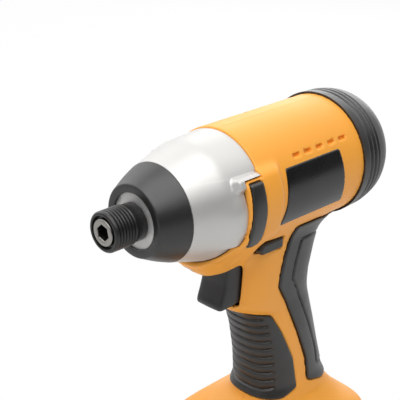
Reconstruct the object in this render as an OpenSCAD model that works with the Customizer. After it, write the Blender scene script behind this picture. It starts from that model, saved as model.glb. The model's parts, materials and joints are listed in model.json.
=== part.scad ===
// Cordless impact driver with a slide-on battery pack
// The tool axis lies along X with the nose towards -X, and the pack's base stands on Z = 0

/* [Bit holder] */
// Width of the hex socket across its flats
hex_width = 6.4; // [6.35:0.01:6.5]
// Depth of the hex socket
hex_depth = 24; // [18:0.5:26]
// Diameter of the anvil's nose
anvil_d = 12; // [11.6:0.1:12.4]
// Diameter of the anvil's journal
journal_d = 13.6; // [13.2:0.1:14]
// Outer diameter of the quick-release sleeve
sleeve_d = 17.5; // [17.2:0.1:18.5]
// Length of the quick-release sleeve
sleeve_length = 17; // [16:0.5:19]
// Forward travel of the sleeve
sleeve_travel = 4.5; // [3.5:0.5:5]
// Number of grip grooves round the sleeve
sleeve_grooves = 5; // [3:1:5]

/* [Nose and hammer case] */
// Gap from the sleeve to the face of the hammer case
nose_gap = 1.7; // [1:0.1:3]
// Diameter of the opening in the bumper
bumper_opening_d = 24.9; // [23:0.1:26]
// Diameter of the bumper's front edge
bumper_front_d = 34.6; // [33:0.2:36]
// Diameter of the bumper's rear edge
bumper_rear_d = 44.9; // [44:0.1:46]
// Length of the bumper
bumper_length = 12.7; // [11:0.1:14]
// Length of the cone behind the bumper
case_cone_length = 17.3; // [16.5:0.1:19]
// Diameter of the hammer case at its shoulder
case_shoulder_d = 55.2; // [54.6:0.1:56]
// Length of the hammer case's barrel
case_barrel_length = 18.4; // [17.5:0.1:20]
// Diameter of the hammer case's rear edge
case_rear_d = 57.3; // [56.6:0.1:57.6]
// Bore of the hammer case
case_bore_d = 48; // [47.6:0.1:48.4]

/* [Impact mechanism] */
// Diameter of the hammer
hammer_d = 41; // [39:0.5:43]
// Length of the hammer's body
hammer_length = 17; // [16:0.5:18]
// Rearward travel of the hammer
hammer_travel = 8; // [6:0.5:9]
// Diameter of the spindle's shaft
spindle_d = 15; // [14.4:0.1:15.4]
// Diameter over the anvil's lugs
lug_d = 35; // [33:0.5:36]
// Length of the anvil's lugs
lug_length = 7; // [6:0.5:8]

/* [Gearbox] */
// Tooth size of the planetary gears
gear_module = 0.8; // [0.76:0.01:0.82]
// Teeth on the sun pinion
sun_teeth = 12; // [12:3:12]
// Teeth on each planet gear
planet_teeth = 18; // [18:3:18]
// Width of the gears
gear_width = 7; // [6:0.5:8]
// Diameter of the planet pins
planet_pin_d = 4.4; // [4:0.1:5]

/* [Motor] */
// Diameter of the motor can
can_d = 40; // [38:0.5:41]
// Length of the motor can
can_length = 49.3; // [48:0.1:52]
// Diameter of the rotor core
core_d = 29.8; // [28:0.1:30]
// Diameter of the rotor shaft
shaft_d = 5; // [4.6:0.1:5.4]
// Diameter of the cooling fan
fan_d = 37; // [34:0.5:40]

/* [Housing] */
// Diameter of the housing's barrel
barrel_d = 58.6; // [58.2:0.1:60]
// Wall of the housing
housing_wall = 2.6; // [2.2:0.1:2.9]
// Length of the housing behind the hammer case
housing_length = 94.6; // [94:0.2:100]
// Length of the black rear bumper
rear_bumper_length = 29; // [24:0.5:31]
// Diameter over the side wings
wing_d = 64.4; // [63.6:0.2:66]
// Drop of the chin below the tool axis
chin_drop = 38.5; // [37.8:0.1:39.2]
// Reach of the chin from its tip to the trigger housing
chin_length = 26.5; // [25:0.1:28]

/* [Handle] */
// Rake of the handle
grip_rake = 13; // [11:0.5:15]
// Depth of the handle from front to back
grip_depth = 45; // [43:0.5:47]
// Width of the handle
grip_width = 35; // [34:0.5:37]
// Drop from the tool axis to the underside of the foot
grip_drop = 144.4; // [143:0.2:150]
// Length of the foot
foot_length = 92.5; // [91:0.5:96]
// Width of the foot
foot_width = 72; // [71:0.5:76]
// Thickness of the rubber on the handle
rubber = 0.9; // [0.6:0.1:1.4]

/* [Controls] */
// Width of the trigger
trigger_width = 19.4; // [18:0.2:20]
// Height of the trigger
trigger_height = 24.7; // [24:0.1:25.4]
// Depth of the trigger from its tip to its back
trigger_depth = 19.4; // [18.5:0.1:20]
// Travel of the trigger
trigger_travel = 7; // [5:0.5:7.5]
// Length of the direction selector's button
selector_length = 16.5; // [15:0.5:18]
// Height of the direction selector's button
selector_height = 5.8; // [5:0.1:6.2]
// Travel of the direction selector to each side
selector_travel = 2.5; // [1.5:0.1:2.8]

/* [Battery] */
// Height of the pack below the foot
battery_height = 33.5; // [33:0.1:38]
// Length of the pack
battery_length = 105; // [104.5:0.1:110]
// Width of the pack
battery_width = 72; // [71.5:0.1:76]
// Wall of the pack
battery_wall = 2.2; // [1.8:0.1:2.4]
// Space between two cells
cell_space = 0.4; // [0.3:0.1:0.8]
// Space at each end of a cell
cell_end_space = 1.3; // [1:0.1:1.8]
// Travel of the pack's release button
release_travel = 3; // [2:0.5:3.5]

/* [Hidden] */
// Fits and clearances
run_gap = 0.05;
seat_gap = 0.05;
clear_gap = 0.3;
over = 1;
round_fn = 96;
pin_fn = 48;

// Bit holder
anvil_r = anvil_d / 2;
journal_r = journal_d / 2;
sleeve_r = sleeve_d / 2;
anvil_proud = 0.2;
anvil_chamfer = 0.5;
hex_turn = 46.4;
snap_x = 1.6;
snap_thick = 0.9;
snap_depth = 0.6;
snap_slit = 3;
sleeve_washer_thick = 0.7;
sleeve_wire = 0.7;
sleeve_spring_turns = 4;
wire_gap = 0.25;
sleeve_pocket_r = anvil_r + sleeve_wire + 2 * wire_gap;
sleeve_stack = 2.2;
land_x = snap_x + snap_thick + sleeve_washer_thick + sleeve_travel + sleeve_stack;
land_length = 3;
land_end = land_x + land_length;
journal_step = 0.6;
journal_x = land_end + journal_step;
bit_ball_r = 1.75;
bit_ball_x = land_x + land_length / 2;
sleeve_chamfer = 0.9;
groove_pitch = 1.9;
groove_width = 0.7;
groove_depth = 0.55;
groove_slope = 0.35;
sleeve_step = 0.35;

// Stations along the tool axis, measured from the front of the sleeve
case_face_x = sleeve_length + nose_gap;
bumper_lip = 1.2;
bumper_front_x = case_face_x - bumper_lip;
bumper_rear_x = bumper_front_x + bumper_length;
shoulder_x = bumper_rear_x + case_cone_length;
case_rear_x = shoulder_x + case_barrel_length;
bumper_wall = 3.2;
bumper_round = 2.6;
neck_r = bumper_front_d / 2 - bumper_wall;
neck_length = 3.3;
nose_wall = 1.3;
bushing_length = 13;
bushing_wall = 2.2;
bushing_x = case_face_x + nose_wall;
bushing_r = journal_r + run_gap + bushing_wall;
nose_hole_gap = 0.6;
case_inner_gap = 0.4;
case_inner_x = bushing_x + bushing_length + case_inner_gap;
case_front_wall = 4.4;
case_bore_r = case_bore_d / 2;
cone_slope = (case_shoulder_d - bumper_rear_d) / 2 / case_cone_length;
case_inner_r = bumper_rear_d / 2 + cone_slope * (case_inner_x - bumper_rear_x) - case_front_wall;

// Impact mechanism
lug_gap = 1;
lug_x = case_inner_x + lug_gap;
lug_r = lug_d / 2;
hub_r = 9;
lug_half_angle = 22;
jaw_half_angle = 27;
jaw_gap_angle = 1.6;
jaw_inner_r = 10;
jaw_outer_r = 18.5;
jaw_length = 6;
hammer_gap = 0.6;
hammer_x = lug_x + lug_length + hammer_gap;
hammer_end = hammer_x + hammer_length;
hammer_r = hammer_d / 2;
spindle_r = spindle_d / 2;
pilot_r = 4;
pilot_length = 4.4;
pilot_end_gap = 0.5;
spindle_front_x = lug_x + lug_length + pilot_end_gap;
cam_ball_r = 2.4;
cam_ball_sink = 0.3;
cam_ball_ride_r = spindle_r - cam_ball_sink;
cam_ball_back = 8;
cam_ball_x = hammer_x + cam_ball_back;
cam_slot_tail = 3;
cam_leg = 7;
cam_leg_angle = 50;
ball_gap = 0.12;
recess_inner_r = 11.3;
recess_outer_r = 17;
recess_floor = 4;
hammer_wire = 2.2;
hammer_spring_turns = 4;
hammer_spring_r = (recess_inner_r + recess_outer_r) / 2;
carrier_gap = 1;
carrier_x = hammer_end + hammer_travel + carrier_gap;
spring_washer_thick = 1;
washer_inset = 0.3;

// Gearbox
ring_teeth = sun_teeth + 2 * planet_teeth;
planet_count = 3;
pressure_angle = 25;
tooth_thin = 0.08;
addendum_share = 0.8;
dedendum_share = 1.1;
addendum = addendum_share * gear_module;
dedendum = dedendum_share * gear_module;
flank_steps = 3;
gear_centre = gear_module * (sun_teeth + planet_teeth) / 2;
carrier_r = 17.8;
carrier_plate = 3;
carrier_rear_plate = 2.5;
planet_gap = 0.3;
planet_x = carrier_x + carrier_plate + planet_gap;
carrier_rear_x = planet_x + gear_width + planet_gap;
carrier_end = carrier_rear_x + carrier_rear_plate;
carrier_bore_r = 6.5;
web_half_angle = 13;
web_inner_r = 8.5;
pin_r = planet_pin_d / 2;
spindle_journal_r = 10;
bearing_r = 15;
bearing_length = 4.8;
bearing_rim = 1.2;
bearing_shield = 0.4;
bearing_x = carrier_end + clear_gap;
ring_lead = 1;
ring_x = planet_x - ring_lead;
ring_length = gear_width + 2 * ring_lead + planet_gap;
ring_end = ring_x + ring_length;
spigot_r = barrel_d / 2 - housing_wall - clear_gap;
plate_gap = 0.2;
plate_x = ring_end + plate_gap;
plate_floor = 1.2;
plate_hole_r = 7;
plate_end = bearing_x + bearing_length + plate_floor;
case_screw_r = 0.8;
case_screw_head_r = 1.1;
case_screw_head = 1.4;
case_screw_depth = 6;
case_screw_inset = 1.3;
case_screw_circle = spigot_r - case_screw_inset;

// Motor
can_r = can_d / 2;
can_wall = 1.6;
can_x = plate_end + clear_gap;
can_end = can_x + can_length;
shaft_r = shaft_d / 2;
shaft_nose_share = 0.8;
shaft_nose_r = shaft_nose_share * shaft_r;
rotor_bearing_r = 6.5;
rotor_bearing_length = 4;
boss_wall = 1.5;
front_bearing_x = can_x + can_wall;
core_length = 28;
core_setback = 9.6;
core_x = front_bearing_x + core_setback;
core_r = core_d / 2;
core_end = core_x + core_length;
core_slots = 7;
core_slot_width = 2.6;
core_slot_floor_r = 8;
magnet_gap = 0.4;
magnet_overhang = 2;
magnet_half_angle = 58;
winding_length = 4.5;
winding_inner_r = 4;
winding_outer_r = 12.5;
commutator_r = 6;
commutator_length = 6.5;
commutator_riser = 1;
commutator_x = core_end + winding_length + plate_gap;
bell_x = can_end + plate_gap;
bell_cup_r = 12;
bell_length = 7.8;
rear_bearing_r = 5.5;
bell_end = bell_x + bell_length;
rear_bearing_x = bell_end - rotor_bearing_length;
brush_width = 4;
brush_thick = 3;
brush_length = 5;
holder_wall = 0.9;
holder_outer_r = 17.5;
holder_lift = 1.2;
fan_gap = 1.2;
fan_x = bell_end + fan_gap;
fan_length = 6;
fan_plate = 1.2;
fan_hub_r = 5;
fan_blades = 11;
fan_blade_thick = 1;
fan_r = fan_d / 2;
shaft_end = fan_x + fan_length;

// Barrel of the housing
barrel_r = barrel_d / 2;
barrel_inner_r = barrel_r - housing_wall;
seam_gap = 0.15;
housing_x = case_rear_x + seam_gap;
housing_end = case_rear_x + housing_length;
tail_skin = 1.4;
tail_cap = 3.7;
tail_x = housing_end + tail_cap;
rear_bumper_x = tail_x - rear_bumper_length;
tail_step = 0.3;
// Rear end of the barrel: share of the barrel's radius at each share of the rear bumper's length
tail_shares = [[0, 1], [0.38, 0.985], [0.62, 0.93], [0.8, 0.83], [0.92, 0.7], [1, 0.56]];
rib_width = 3;
// Places of the ribs that hold the motor can, as shares of its length
rib_shares = [0.2, 0.8];
wing_r = wing_d / 2;
wing_lead = 11.9;
wing_tail = 8.1;
wing_top = 17;
wing_bottom = 15.5;
wing_base_r = case_rear_d / 2 + clear_gap;
boss_start = 0.4;
boss_root = 1;
boss_lead = 5.4;
boss_top = 16.6;
boss_drop = 0.5;
lip_top = 14.2;
shelf_lead = 2;
shelf_end = case_rear_x - shelf_lead;
pad_front = 2.4;
pad_length = 8.8;
pad_top = 12.8;
pad_bottom = 14.6;
pad_depth = 2;
pad_proud = 0.4;
pad_round = 1.6;
label_lead = 10.6;
label_length = 46;
label_top = 14.5;
label_height = 26.8;
label_thick = 0.5;
// Outline of the label: shares of its length and of its height
label_shares = [[0.085, 1], [0.066, 0.91], [0.088, 0.55], [0.06, 0.26], [0.005, 0.05], [0.03, 0], [1, 0],
    [0.93, 1]];
vent_count = 5;
vent_lead = 21.5;
vent_pitch = 8;
vent_length = 4.3;
vent_height = 1.7;
vent_angle = 34;
chin_side_gap = 0.2;
chin_keel_r = 15.5;
chin_skin = 1;
chin_skin_r = wing_base_r + chin_skin;
chin_tail = 4.1;
chin_tip_x = case_rear_x + chin_tail - chin_length;
// Outline of the chin: shares of its length and of its drop
chin_shares = [[0.396, 0.364], [0, 0.714], [0.094, 0.792], [0.264, 0.902], [0.396, 0.955], [0.547, 0.98],
    [1, 0.98], [1, 0.364]];
chin_hollow_shares = [[0.355, 0.7], [0.355, 0.905], [0.5, 0.93], [1.1, 0.93], [1.1, 0.7]];
chin_wall = 2.4;
led_r = 2.5;
led_drop = 32;
led_share = 0.36;
led_x = chin_tip_x + led_share * chin_length;
led_board_thick = 1.6;
led_board_width = 11;
led_board_height = 5.4;

// Handle: each row is a drop share, then the shares of the grip's depth to the front and rear of the raked
// centre line, a share of its half width, and the power of its rounded section
grip_setback = 19.5;
grip_shares = [
    [0.083, 0.382, 0.862, 1.114, 3],
    [0.166, 0.438, 0.769, 1.114, 3.2],
    [0.249, 0.49, 0.629, 1.063, 3],
    [0.346, 0.603, 0.502, 1.006, 2.9],
    [0.395, 0.675, 0.47, 0.983, 2.8],
    [0.424, 0.645, 0.46, 0.971, 2.7],
    [0.456, 0.45, 0.457, 0.971, 2.5],
    [0.554, 0.415, 0.469, 0.994, 2.5],
    [0.665, 0.44, 0.487, 0.994, 2.5],
    [0.762, 0.49, 0.504, 1.006, 2.6],
    [0.824, 0.598, 0.547, 1.143, 2.8]
];
// Foot: each row is a drop share, the shares of its length left off at the front and the rear, a share of its
// half width, and the power of its rounded section
foot_lead = 7.9;
foot_shares = [
    [0.866, 0.205, 0.092, 0.722, 3.2],
    [0.893, 0.0865, 0.043, 0.903, 4],
    [0.914, 0.0216, 0.0108, 0.983, 5],
    [1, 0, 0, 1, 6]
];
loft_sides = 36;
foot_x = case_rear_x - foot_lead;
stations = concat(
    [for (s = grip_shares) [s[0] * grip_drop, grip_x(s[0]) - s[1] * grip_depth,
        grip_x(s[0]) + s[2] * grip_depth,
        s[3] * grip_width / 2, s[4]]],
    [for (s = foot_shares) [s[0] * grip_drop, foot_x + s[1] * foot_length,
        foot_x + (1 - s[2]) * foot_length,
        s[3] * foot_width / 2, s[4]]]
);
grip_rows = len(grip_shares);
// Side grip outline: share of the grip's depth from the centre line, and drop share
side_grip_shares = [[0.047, 0.194], [-0.033, 0.242], [-0.151, 0.343], [-0.082, 0.419], [0.016, 0.554],
    [0.089, 0.679], [0.06, 0.776], [0.3, 0.8], [0.9, 0.8], [1.1, 0.194]];
front_grip_shares = [[-0.9, 0.442], [-0.5, 0.448], [-0.273, 0.461], [-0.184, 0.537], [-0.096, 0.658],
    [-0.118, 0.776], [-0.35, 0.8], [-0.9, 0.8]];
channel_depth = 12.9;
channel_end_lead = 74;
slot_half_width = 28.5;
neck_half_width = 24.5;
lip_height = 7.4;
foot_bottom = -grip_drop;

// Screws of the housing: share of the grip's depth from the centre line, drop share, and the share of the
// grip's half width that its boss reaches
screw_shares = [[0.5, 0.187, 0.9], [-0.135, 0.485, 0.87], [-0.01, 0.72, 0.87], [0.63, 0.942, 0.7]];
barrel_screw_drop = 24.4;
// Screws in the barrel: share of the motor can's length, side, and the same reach
barrel_screw_shares = [[0.15, 1, 0.74], [0.87, 1, 0.74]];
grip_screws = [for (s = screw_shares)
    [grip_x(s[1]) + s[0] * grip_depth, -s[1] * grip_drop, s[2] * grip_width / 2]];
barrel_screws = [for (s = barrel_screw_shares)
    [can_x + s[0] * can_length, s[1] * barrel_screw_drop, s[2] * grip_width / 2]];
screw_places = concat(grip_screws, barrel_screws);
screw_r = 1.5;
screw_head_r = 2.6;
screw_head = 2.2;
screw_seat = 8.6;
screw_length = 20;
screw_drive_r = 1.4;
screw_drive_depth = 1.2;
boss_r = 3.9;
rib_inset = 2.2;
rib_reach = grip_width / 2 - rib_inset;

// Controls
trigger_lead = 5.3;
trigger_x = case_rear_x - trigger_lead;
trigger_top = 33.5;
trigger_side = trigger_width / 2;
trigger_bow_r = 13.5;
// Outline of the trigger: shares of its depth and of its height
trigger_shares = [[0.2, 0], [0.144, 0.263], [0.087, 0.547], [0.008, 0.75], [0, 0.87], [0.071, 0.965],
    [0.2, 1], [1, 1], [1, 0]];
trigger_gap = 0.35;
trigger_pocket_r = 5;
trigger_pocket = 4;
stem_r = 3;
stem_gap = 0.3;
stem_length = 15;
stem_drop = 46;
trigger_end = trigger_x + trigger_depth;
switch_gap = 2;
switch_x = trigger_end + trigger_travel + switch_gap;
switch_length = 24;
switch_half_width = 10.5;
switch_top = 34.2;
switch_height = 23.8;
stem_bore_depth = 16;
trigger_wire = 0.8;
trigger_spring_turns = 5;
trigger_spring_r = (stem_r + trigger_pocket_r) / 2;
switch_rib = 4;
// Places of the ribs that hold the switch, as shares of its length
switch_rib_shares = [0.2, 0.75];
selector_setback = 7.6;
selector_x = case_rear_x + selector_setback;
selector_drop = 26.6;
selector_reach = 20.4;
selector_inner = 15.6;
selector_hole_inner = selector_inner - selector_travel - over;
selector_link_length = 9;
selector_link_top = 26.9;
selector_link_height = 2.4;
selector_gap = 0.35;

// Battery
battery_gap = 0.4;
battery_top_z = foot_bottom - battery_gap;
battery_bottom_z = battery_top_z - battery_height;
axis_height = -battery_bottom_z;
battery_lead = 17.9;
battery_x = case_rear_x - battery_lead;
battery_end = battery_x + battery_length;
split_share = 0.46;
battery_split_z = battery_bottom_z + split_share * battery_height;
battery_round = 6;
rail_gap = 0.3;
rail_x = foot_x + 2 * rail_gap;
rail_end = foot_x + channel_end_lead - rail_gap;
rail_top_z = foot_bottom + channel_depth - rail_gap;
rail_lip_z = foot_bottom + lip_height + rail_gap;
rail_half_width = slot_half_width - rail_gap;
rail_neck = neck_half_width - rail_gap;
rail_wall = 2.4;
strap_thick = 0.3;
strap_height = 6;
strap_gap = 0.1;
block_x = foot_x + channel_end_lead + 2 * rail_gap;
block_length = 8;
block_half_width = 20;
block_height = 14;
block_lift = 1.2;
block_z = foot_bottom + block_lift;
block_gap = 0.25;
blade_count = 2;
blade_spacing = 16;
blade_thick = 0.8;
blade_length = 13;
blade_height = 7;
blade_lift = 3;
blade_z = foot_bottom + blade_lift;
blade_gap = 0.6;
contact_thick = 0.6;
contact_length = 8;
contact_height = 6;
release_width = 27;
release_depth = 4.8;
release_height = 9.6;
release_gap = 0.4;
release_wall = 1.4;
cell_count = 5;
cell_gap = 0.2;
cell_setback = 1.2;
cell_lead = 1;
cell_front = release_depth + 2 * release_gap + release_wall + cell_lead;
cell_room = battery_length - battery_wall - cell_setback - cell_front;
cell_pitch = (cell_room + cell_space) / cell_count;
cell_d = cell_pitch - cell_space;
cell_length = battery_width - 2 * battery_wall - 2 * cell_end_space;
cell_z = battery_bottom_z + battery_wall + cell_gap + cell_d / 2;
cell_first_x = battery_end - battery_wall - cell_setback - cell_d / 2 - (cell_count - 1) * cell_pitch;
release_round = 1.2;
release_bore_r = 1.9;
release_bore = 5;
release_wire = 0.45;
release_spring_r = 1.5;
release_spring_turns = 5;
release_floor_gap = 0.6;
release_floor_z = battery_top_z - release_gap - release_height - release_travel - release_floor_gap;
pack_screw_r = 1.3;
pack_screw_head_r = 2.3;
pack_screw_head = 1.8;
pack_screw_length = 18;
pack_screw_spread = 27.5;
pack_boss_r = 2.35;
pack_foot_r = 3.1;
pack_boss_sink = 0.7;
pack_screw_x = battery_x + battery_wall + pack_boss_r - pack_boss_sink;
pack_screw_sink = 3;

// Routes of the leads, chosen by hand on the near side of the middle: x, y, z from the tool axis
lead_r = 1.1;
lead_sides = 8;
lead_door = 5.4;
motor_lead_route = [[113.3, -4, -38], [116.6, -4, -37.4], [118.2, -4, -33.4], [119.4, -4, -28],
    [121.4, -4, -24.8],
    [126, -4, -23.4], [134, -4, -23], [138.6, -4, -22.6], [140.4, -4, -20.8]];
supply_lead_route = [[108, -5, -58.1], [108.6, -5, -66], [111, -5, -80], [115.5, -5, -98],
    [121, -5, -113], [128.4, -5, -121.4],
    [134.4, -5, -124.8], [136.6, -5, -128.6]];

// Centre line of the raked handle at a share of its drop
function grip_x(drop_share) = case_rear_x + grip_setback + drop_share * grip_drop * tan(grip_rake);

// Point at a radius and an angle
function polar(r, a) = [r * cos(a), r * sin(a)];
function unit(v) = v / norm(v);

// Arc of radius r that rounds the corner at p between a and b
function corner(a, p, b, r, steps) =
    let (u = unit(a - p), v = unit(b - p), h = acos(u * v) / 2, c = p + unit(u + v) * r / sin(h),
        s = p + u * r / tan(h) - c, e = p + v * r / tan(h) - c, from = atan2(s[1], s[0]),
        turn = atan2(e[1], e[0]) - from, sweep =
            turn > 180 ? turn - 360 : turn < -180 ? turn + 360 : turn)
    [for (i = [0:steps]) c + polar(r, from + sweep * i / steps)];

// Outline with every corner rounded
function rounded(points, r, steps = 4) =
    let (m = len(points))
    [for (i = [0:m - 1]) each corner(points[(i + m - 1) % m], points[i], points[(i + 1) % m], r, steps)];

// Rectangle about its centre
function oblong(length, width) =
    [[-length, -width] / 2, [length, -width] / 2, [length, width] / 2, [-length, width] / 2];

// Angle of an involute, in degrees
function involute(a) = tan(a) * 180 / PI - a;

// Outline of a gear: each tooth is a root point, a flank, its mirror image and a root point
function gear_outline(teeth, tip, root, thin) =
    let (rp = gear_module * teeth / 2, rb = rp * cos(pressure_angle), low = max(rb, rp - root),
        high = rp + tip,
        half = 90 / teeth - thin / rp * 90 / PI + involute(pressure_angle),
        flank = [for (i = [0:flank_steps]) let (r = low + (high - low) * i / flank_steps)
            [r, half - involute(acos(rb / r))]])
    [for (t = [0:teeth - 1]) let (c = 360 * t / teeth)
        each concat([polar(rp - root, c - flank[0][1])], [for (f = flank) polar(f[0], c - f[1])],
            [for (i = [flank_steps:-1:0]) polar(flank[i][0], c + flank[i][1])],
                [polar(rp - root, c + flank[0][1])])];

// Turn of a planet that puts it in mesh with the sun
function planet_turn(i) =
    let (at = 360 * i / planet_count, phase = at * sun_teeth / 360)
    at + 180 - 360 / planet_teeth * (1 / 2 - phase);
ring_turn = (planet_teeth / 2 - 1 / 2) * 360 / ring_teeth;

// Moves the tool from the nose and its axis to the middle of the pack's base
module place() translate([(anvil_proud - tail_x) / 2, 0, axis_height]) children();

// Solid turned about the tool axis from points of place and radius
module turned(points) rotate([0, 90, 0]) rotate_extrude($fn = round_fn)
    polygon([for (p = points) [p[1], p[0]]]);

module tube(x, length, inner, outer)
    turned([[x, inner], [x + length, inner], [x + length, outer], [x, outer]]);

// Outline across the tool axis, carried along it
module across(x, length, points) translate([x, 0, 0]) rotate([0, 90, 0]) linear_extrude(length)
    polygon(points);

// Side outline of x and z, carried from y = low to y = high
module sideways(points, low, high) translate([0, high, 0]) rotate([90, 0, 0]) linear_extrude(high - low)
    polygon(points);

// Plan outline of x and y, carried upwards
module upright(points, z, height) translate([0, 0, z]) linear_extrude(height) polygon(points);

module block(low, high) translate(low) cube(high - low);

// Round bar along Y
module cross_bar(x, z, low, high, r) translate([x, low, z]) rotate([-90, 0, 0])
    cylinder(h = high - low, r = r, $fn = pin_fn);

// Solid within a half angle of a direction about the tool axis
module sector(x, length, inner, outer, at, half_angle)
    intersection() {
        tube(x, length, inner, outer);
        across(x - over, length + 2 * over,
            [[0, 0], polar(2 * outer, at - half_angle), polar(3 * outer, at),
            polar(2 * outer, at + half_angle)]);
    }

// Closed skin over rings of points, from the first ring to the last
module skin(rings) {
    n = len(rings[0]);
    m = len(rings);
    sides = [for (j = [0:m - 2], i = [0:n - 1]) let (a = j * n + i,
        b = j * n + (i + 1) % n) each [[a, b, b + n], [a, b + n, a + n]]];
    polyhedron([for (r = rings) each r],
        concat([[for (i = [n - 1:-1:0]) i]], sides, [[for (i = [0:n - 1]) (m - 1) * n + i]]));
}

// Spring of round wire along the tool axis, with six sides to its wire
module coil(x, length, r, wire, turns, turn_steps = 8) {
    steps = turn_steps * turns;
    skin([for (k = [0:steps]) let (a = 360 * turns * k / steps,
        at = x + wire / 2 + (length - wire) * k / steps)
        [for (j = [0:5]) let (p = polar(wire / 2, 60 * j))
            [at + p[1], (r + p[0]) * cos(a), (r + p[0]) * sin(a)]]]);
}

// Round lead swept along its route, with rings square to the route
module lead(route) {
    m = len(route);
    skin([for (k = [0:m - 1])
        let (along = unit(route[min(k + 1, m - 1)] - route[max(k - 1, 0)]),
            side = unit(cross(along, [0, 1, 0])), up = cross(side, along))
        [for (j = [0:lead_sides - 1]) let (p = polar(lead_r,
            360 * j / lead_sides)) route[k] + p[0] * side + p[1] * up]]);
}

// Ring of a handle station, grown by a distance
function station_ring(s, grow) =
    [for (i = [0:loft_sides - 1]) let (t = 360 * i / loft_sides, c = cos(t), q = sin(t))
        [(s[1] + s[2]) / 2 + ((s[2] - s[1]) / 2 + grow) * sign(c) * pow(abs(c), 2 / s[4]),
        (s[3] + grow) * sign(q) * pow(abs(q), 2 / s[4]), -s[0]]];

module handle_loft(first, last, grow) skin([for (k = [first:last]) station_ring(stations[k], grow)]);

// Side outline from shares of the grip's depth and drop
function grip_outline(shares) = [for (s = shares) [grip_x(s[1]) + s[0] * grip_depth, -s[1] * grip_drop]];
function chin_outline(shares) = [for (s = shares) [chin_tip_x + s[0] * chin_length, -s[1] * chin_drop]];

module anvil() color("#8e9094") place() difference() {
    union() {
        turned([[-anvil_proud, 0], [-anvil_proud, anvil_r - anvil_chamfer],
            [anvil_chamfer - anvil_proud, anvil_r],
            [journal_x, anvil_r], [journal_x, journal_r], [lug_x, journal_r], [lug_x, hub_r],
            [lug_x + lug_length, hub_r], [lug_x + lug_length, 0]]);
        for (at = [0, 180]) sector(lug_x, lug_length, 0, lug_r, at, lug_half_angle);
    }
    translate([-anvil_proud - over, 0, 0]) rotate([0, 90, 0]) rotate([0, 0, hex_turn])
        cylinder(h = hex_depth + over, r = hex_width / 2 / cos(30), $fn = 6);
    bit_ball_seats() cylinder(h = anvil_r + over, r = bit_ball_r + run_gap, $fn = pin_fn);
    tube(snap_x, snap_thick, anvil_r - snap_depth, anvil_r + over);
    tube(lug_x + lug_length - pilot_length, pilot_length + over, 0, pilot_r + run_gap);
}

// The two ball places, each with Z pointing out from the tool axis
module bit_ball_seats() for (at = [0, 180]) translate([bit_ball_x, 0, 0])
    rotate([at + hex_turn - 30, 0, 0]) children();

module bit_balls() color("#b9bcc0") place() bit_ball_seats()
    translate([0, 0, anvil_r - bit_ball_r]) sphere(r = bit_ball_r, $fn = pin_fn);

module chuck_sleeve() color("#2b2b2c") place() {
    first = sleeve_chamfer + groove_width;
    smooth_x = first + sleeve_grooves * groove_pitch;
    grooves = [for (i = [0:sleeve_grooves - 1]) let (x = first + i * groove_pitch)
        each [[x, sleeve_r], [x + groove_slope, sleeve_r - groove_depth],
            [x + groove_slope + groove_width, sleeve_r - groove_depth],
            [x + 2 * groove_slope + groove_width, sleeve_r]]];
    turned(concat([[0, sleeve_pocket_r], [0, sleeve_r - sleeve_chamfer], [sleeve_chamfer, sleeve_r]],
        grooves,
        [[smooth_x, sleeve_r], [smooth_x + sleeve_step, sleeve_r - sleeve_step],
            [sleeve_length - sleeve_step, sleeve_r - sleeve_step],
        [sleeve_length, sleeve_r - 2 * sleeve_step], [sleeve_length, journal_r + clear_gap],
            [land_end, journal_r + clear_gap],
        [land_end, anvil_r + run_gap], [land_x, anvil_r + run_gap], [land_x, sleeve_pocket_r]]));
}

module sleeve_spring() color("#9a9a9a") place()
    coil(snap_x + snap_thick + sleeve_washer_thick + 2 * seat_gap,
        sleeve_travel + sleeve_stack - 3 * seat_gap,
        anvil_r + wire_gap + sleeve_wire / 2, sleeve_wire, sleeve_spring_turns, 16);

module sleeve_washer() color("#77797c") place()
    tube(snap_x + snap_thick + seat_gap, sleeve_washer_thick, anvil_r + run_gap,
        sleeve_pocket_r - clear_gap);

module sleeve_snap_ring() color("#55575a") place() difference() {
    tube(snap_x + seat_gap, snap_thick - 2 * seat_gap, anvil_r - snap_depth + seat_gap,
        sleeve_pocket_r - clear_gap);
    block([snap_x - over, -snap_slit / 2, 0], [snap_x + snap_thick + over, snap_slit / 2, sleeve_r]);
}

module nose_bumper() color("#2a2a2b") place() {
    inner_r = neck_r + seat_gap;
    turned(concat([[bumper_front_x, bumper_opening_d / 2]],
        [for (i = [0:4]) let (p = polar(bumper_round, 90 * i / 4))
            [bumper_front_x + bumper_round - p[0], bumper_front_d / 2 - bumper_round + p[1]]],
        [[bumper_rear_x, bumper_rear_d / 2], [bumper_rear_x, bumper_rear_d / 2 - bumper_wall + seat_gap],
        [case_face_x + neck_length, inner_r], [case_face_x - seat_gap, inner_r],
            [case_face_x - seat_gap, bumper_opening_d / 2]]));
}

// Outside of the hammer case ahead of its rear edge, grown by a distance
function case_outline(grow) =
    [[bumper_rear_x + seat_gap, bumper_rear_d / 2 + grow], [shoulder_x, case_shoulder_d / 2 + grow],
    [case_rear_x, case_rear_d / 2 + grow]];

module hammer_case() color("#c9cbcd") place() difference() {
    union() {
        turned(concat([[case_face_x, 0], [case_face_x, neck_r], [case_face_x + neck_length, neck_r],
            [bumper_rear_x + seat_gap, bumper_rear_d / 2 - bumper_wall]], case_outline(0),
            [[case_rear_x, spigot_r], [ring_end, spigot_r], [ring_end, 0]]));
        case_bosses(0);
    }
    turned([[case_face_x - over, 0], [case_face_x - over, journal_r + nose_hole_gap],
        [bushing_x, journal_r + nose_hole_gap],
        [bushing_x, bushing_r + seat_gap], [case_inner_x, bushing_r + seat_gap],
            [case_inner_x, case_inner_r],
        [shoulder_x, case_bore_r], [ring_end + over, case_bore_r], [ring_end + over, 0]]);
    case_screw_places() translate([0, 0, -case_screw_depth])
        cylinder(h = case_screw_depth + over, r = case_screw_r, $fn = pin_fn);
}

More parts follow.
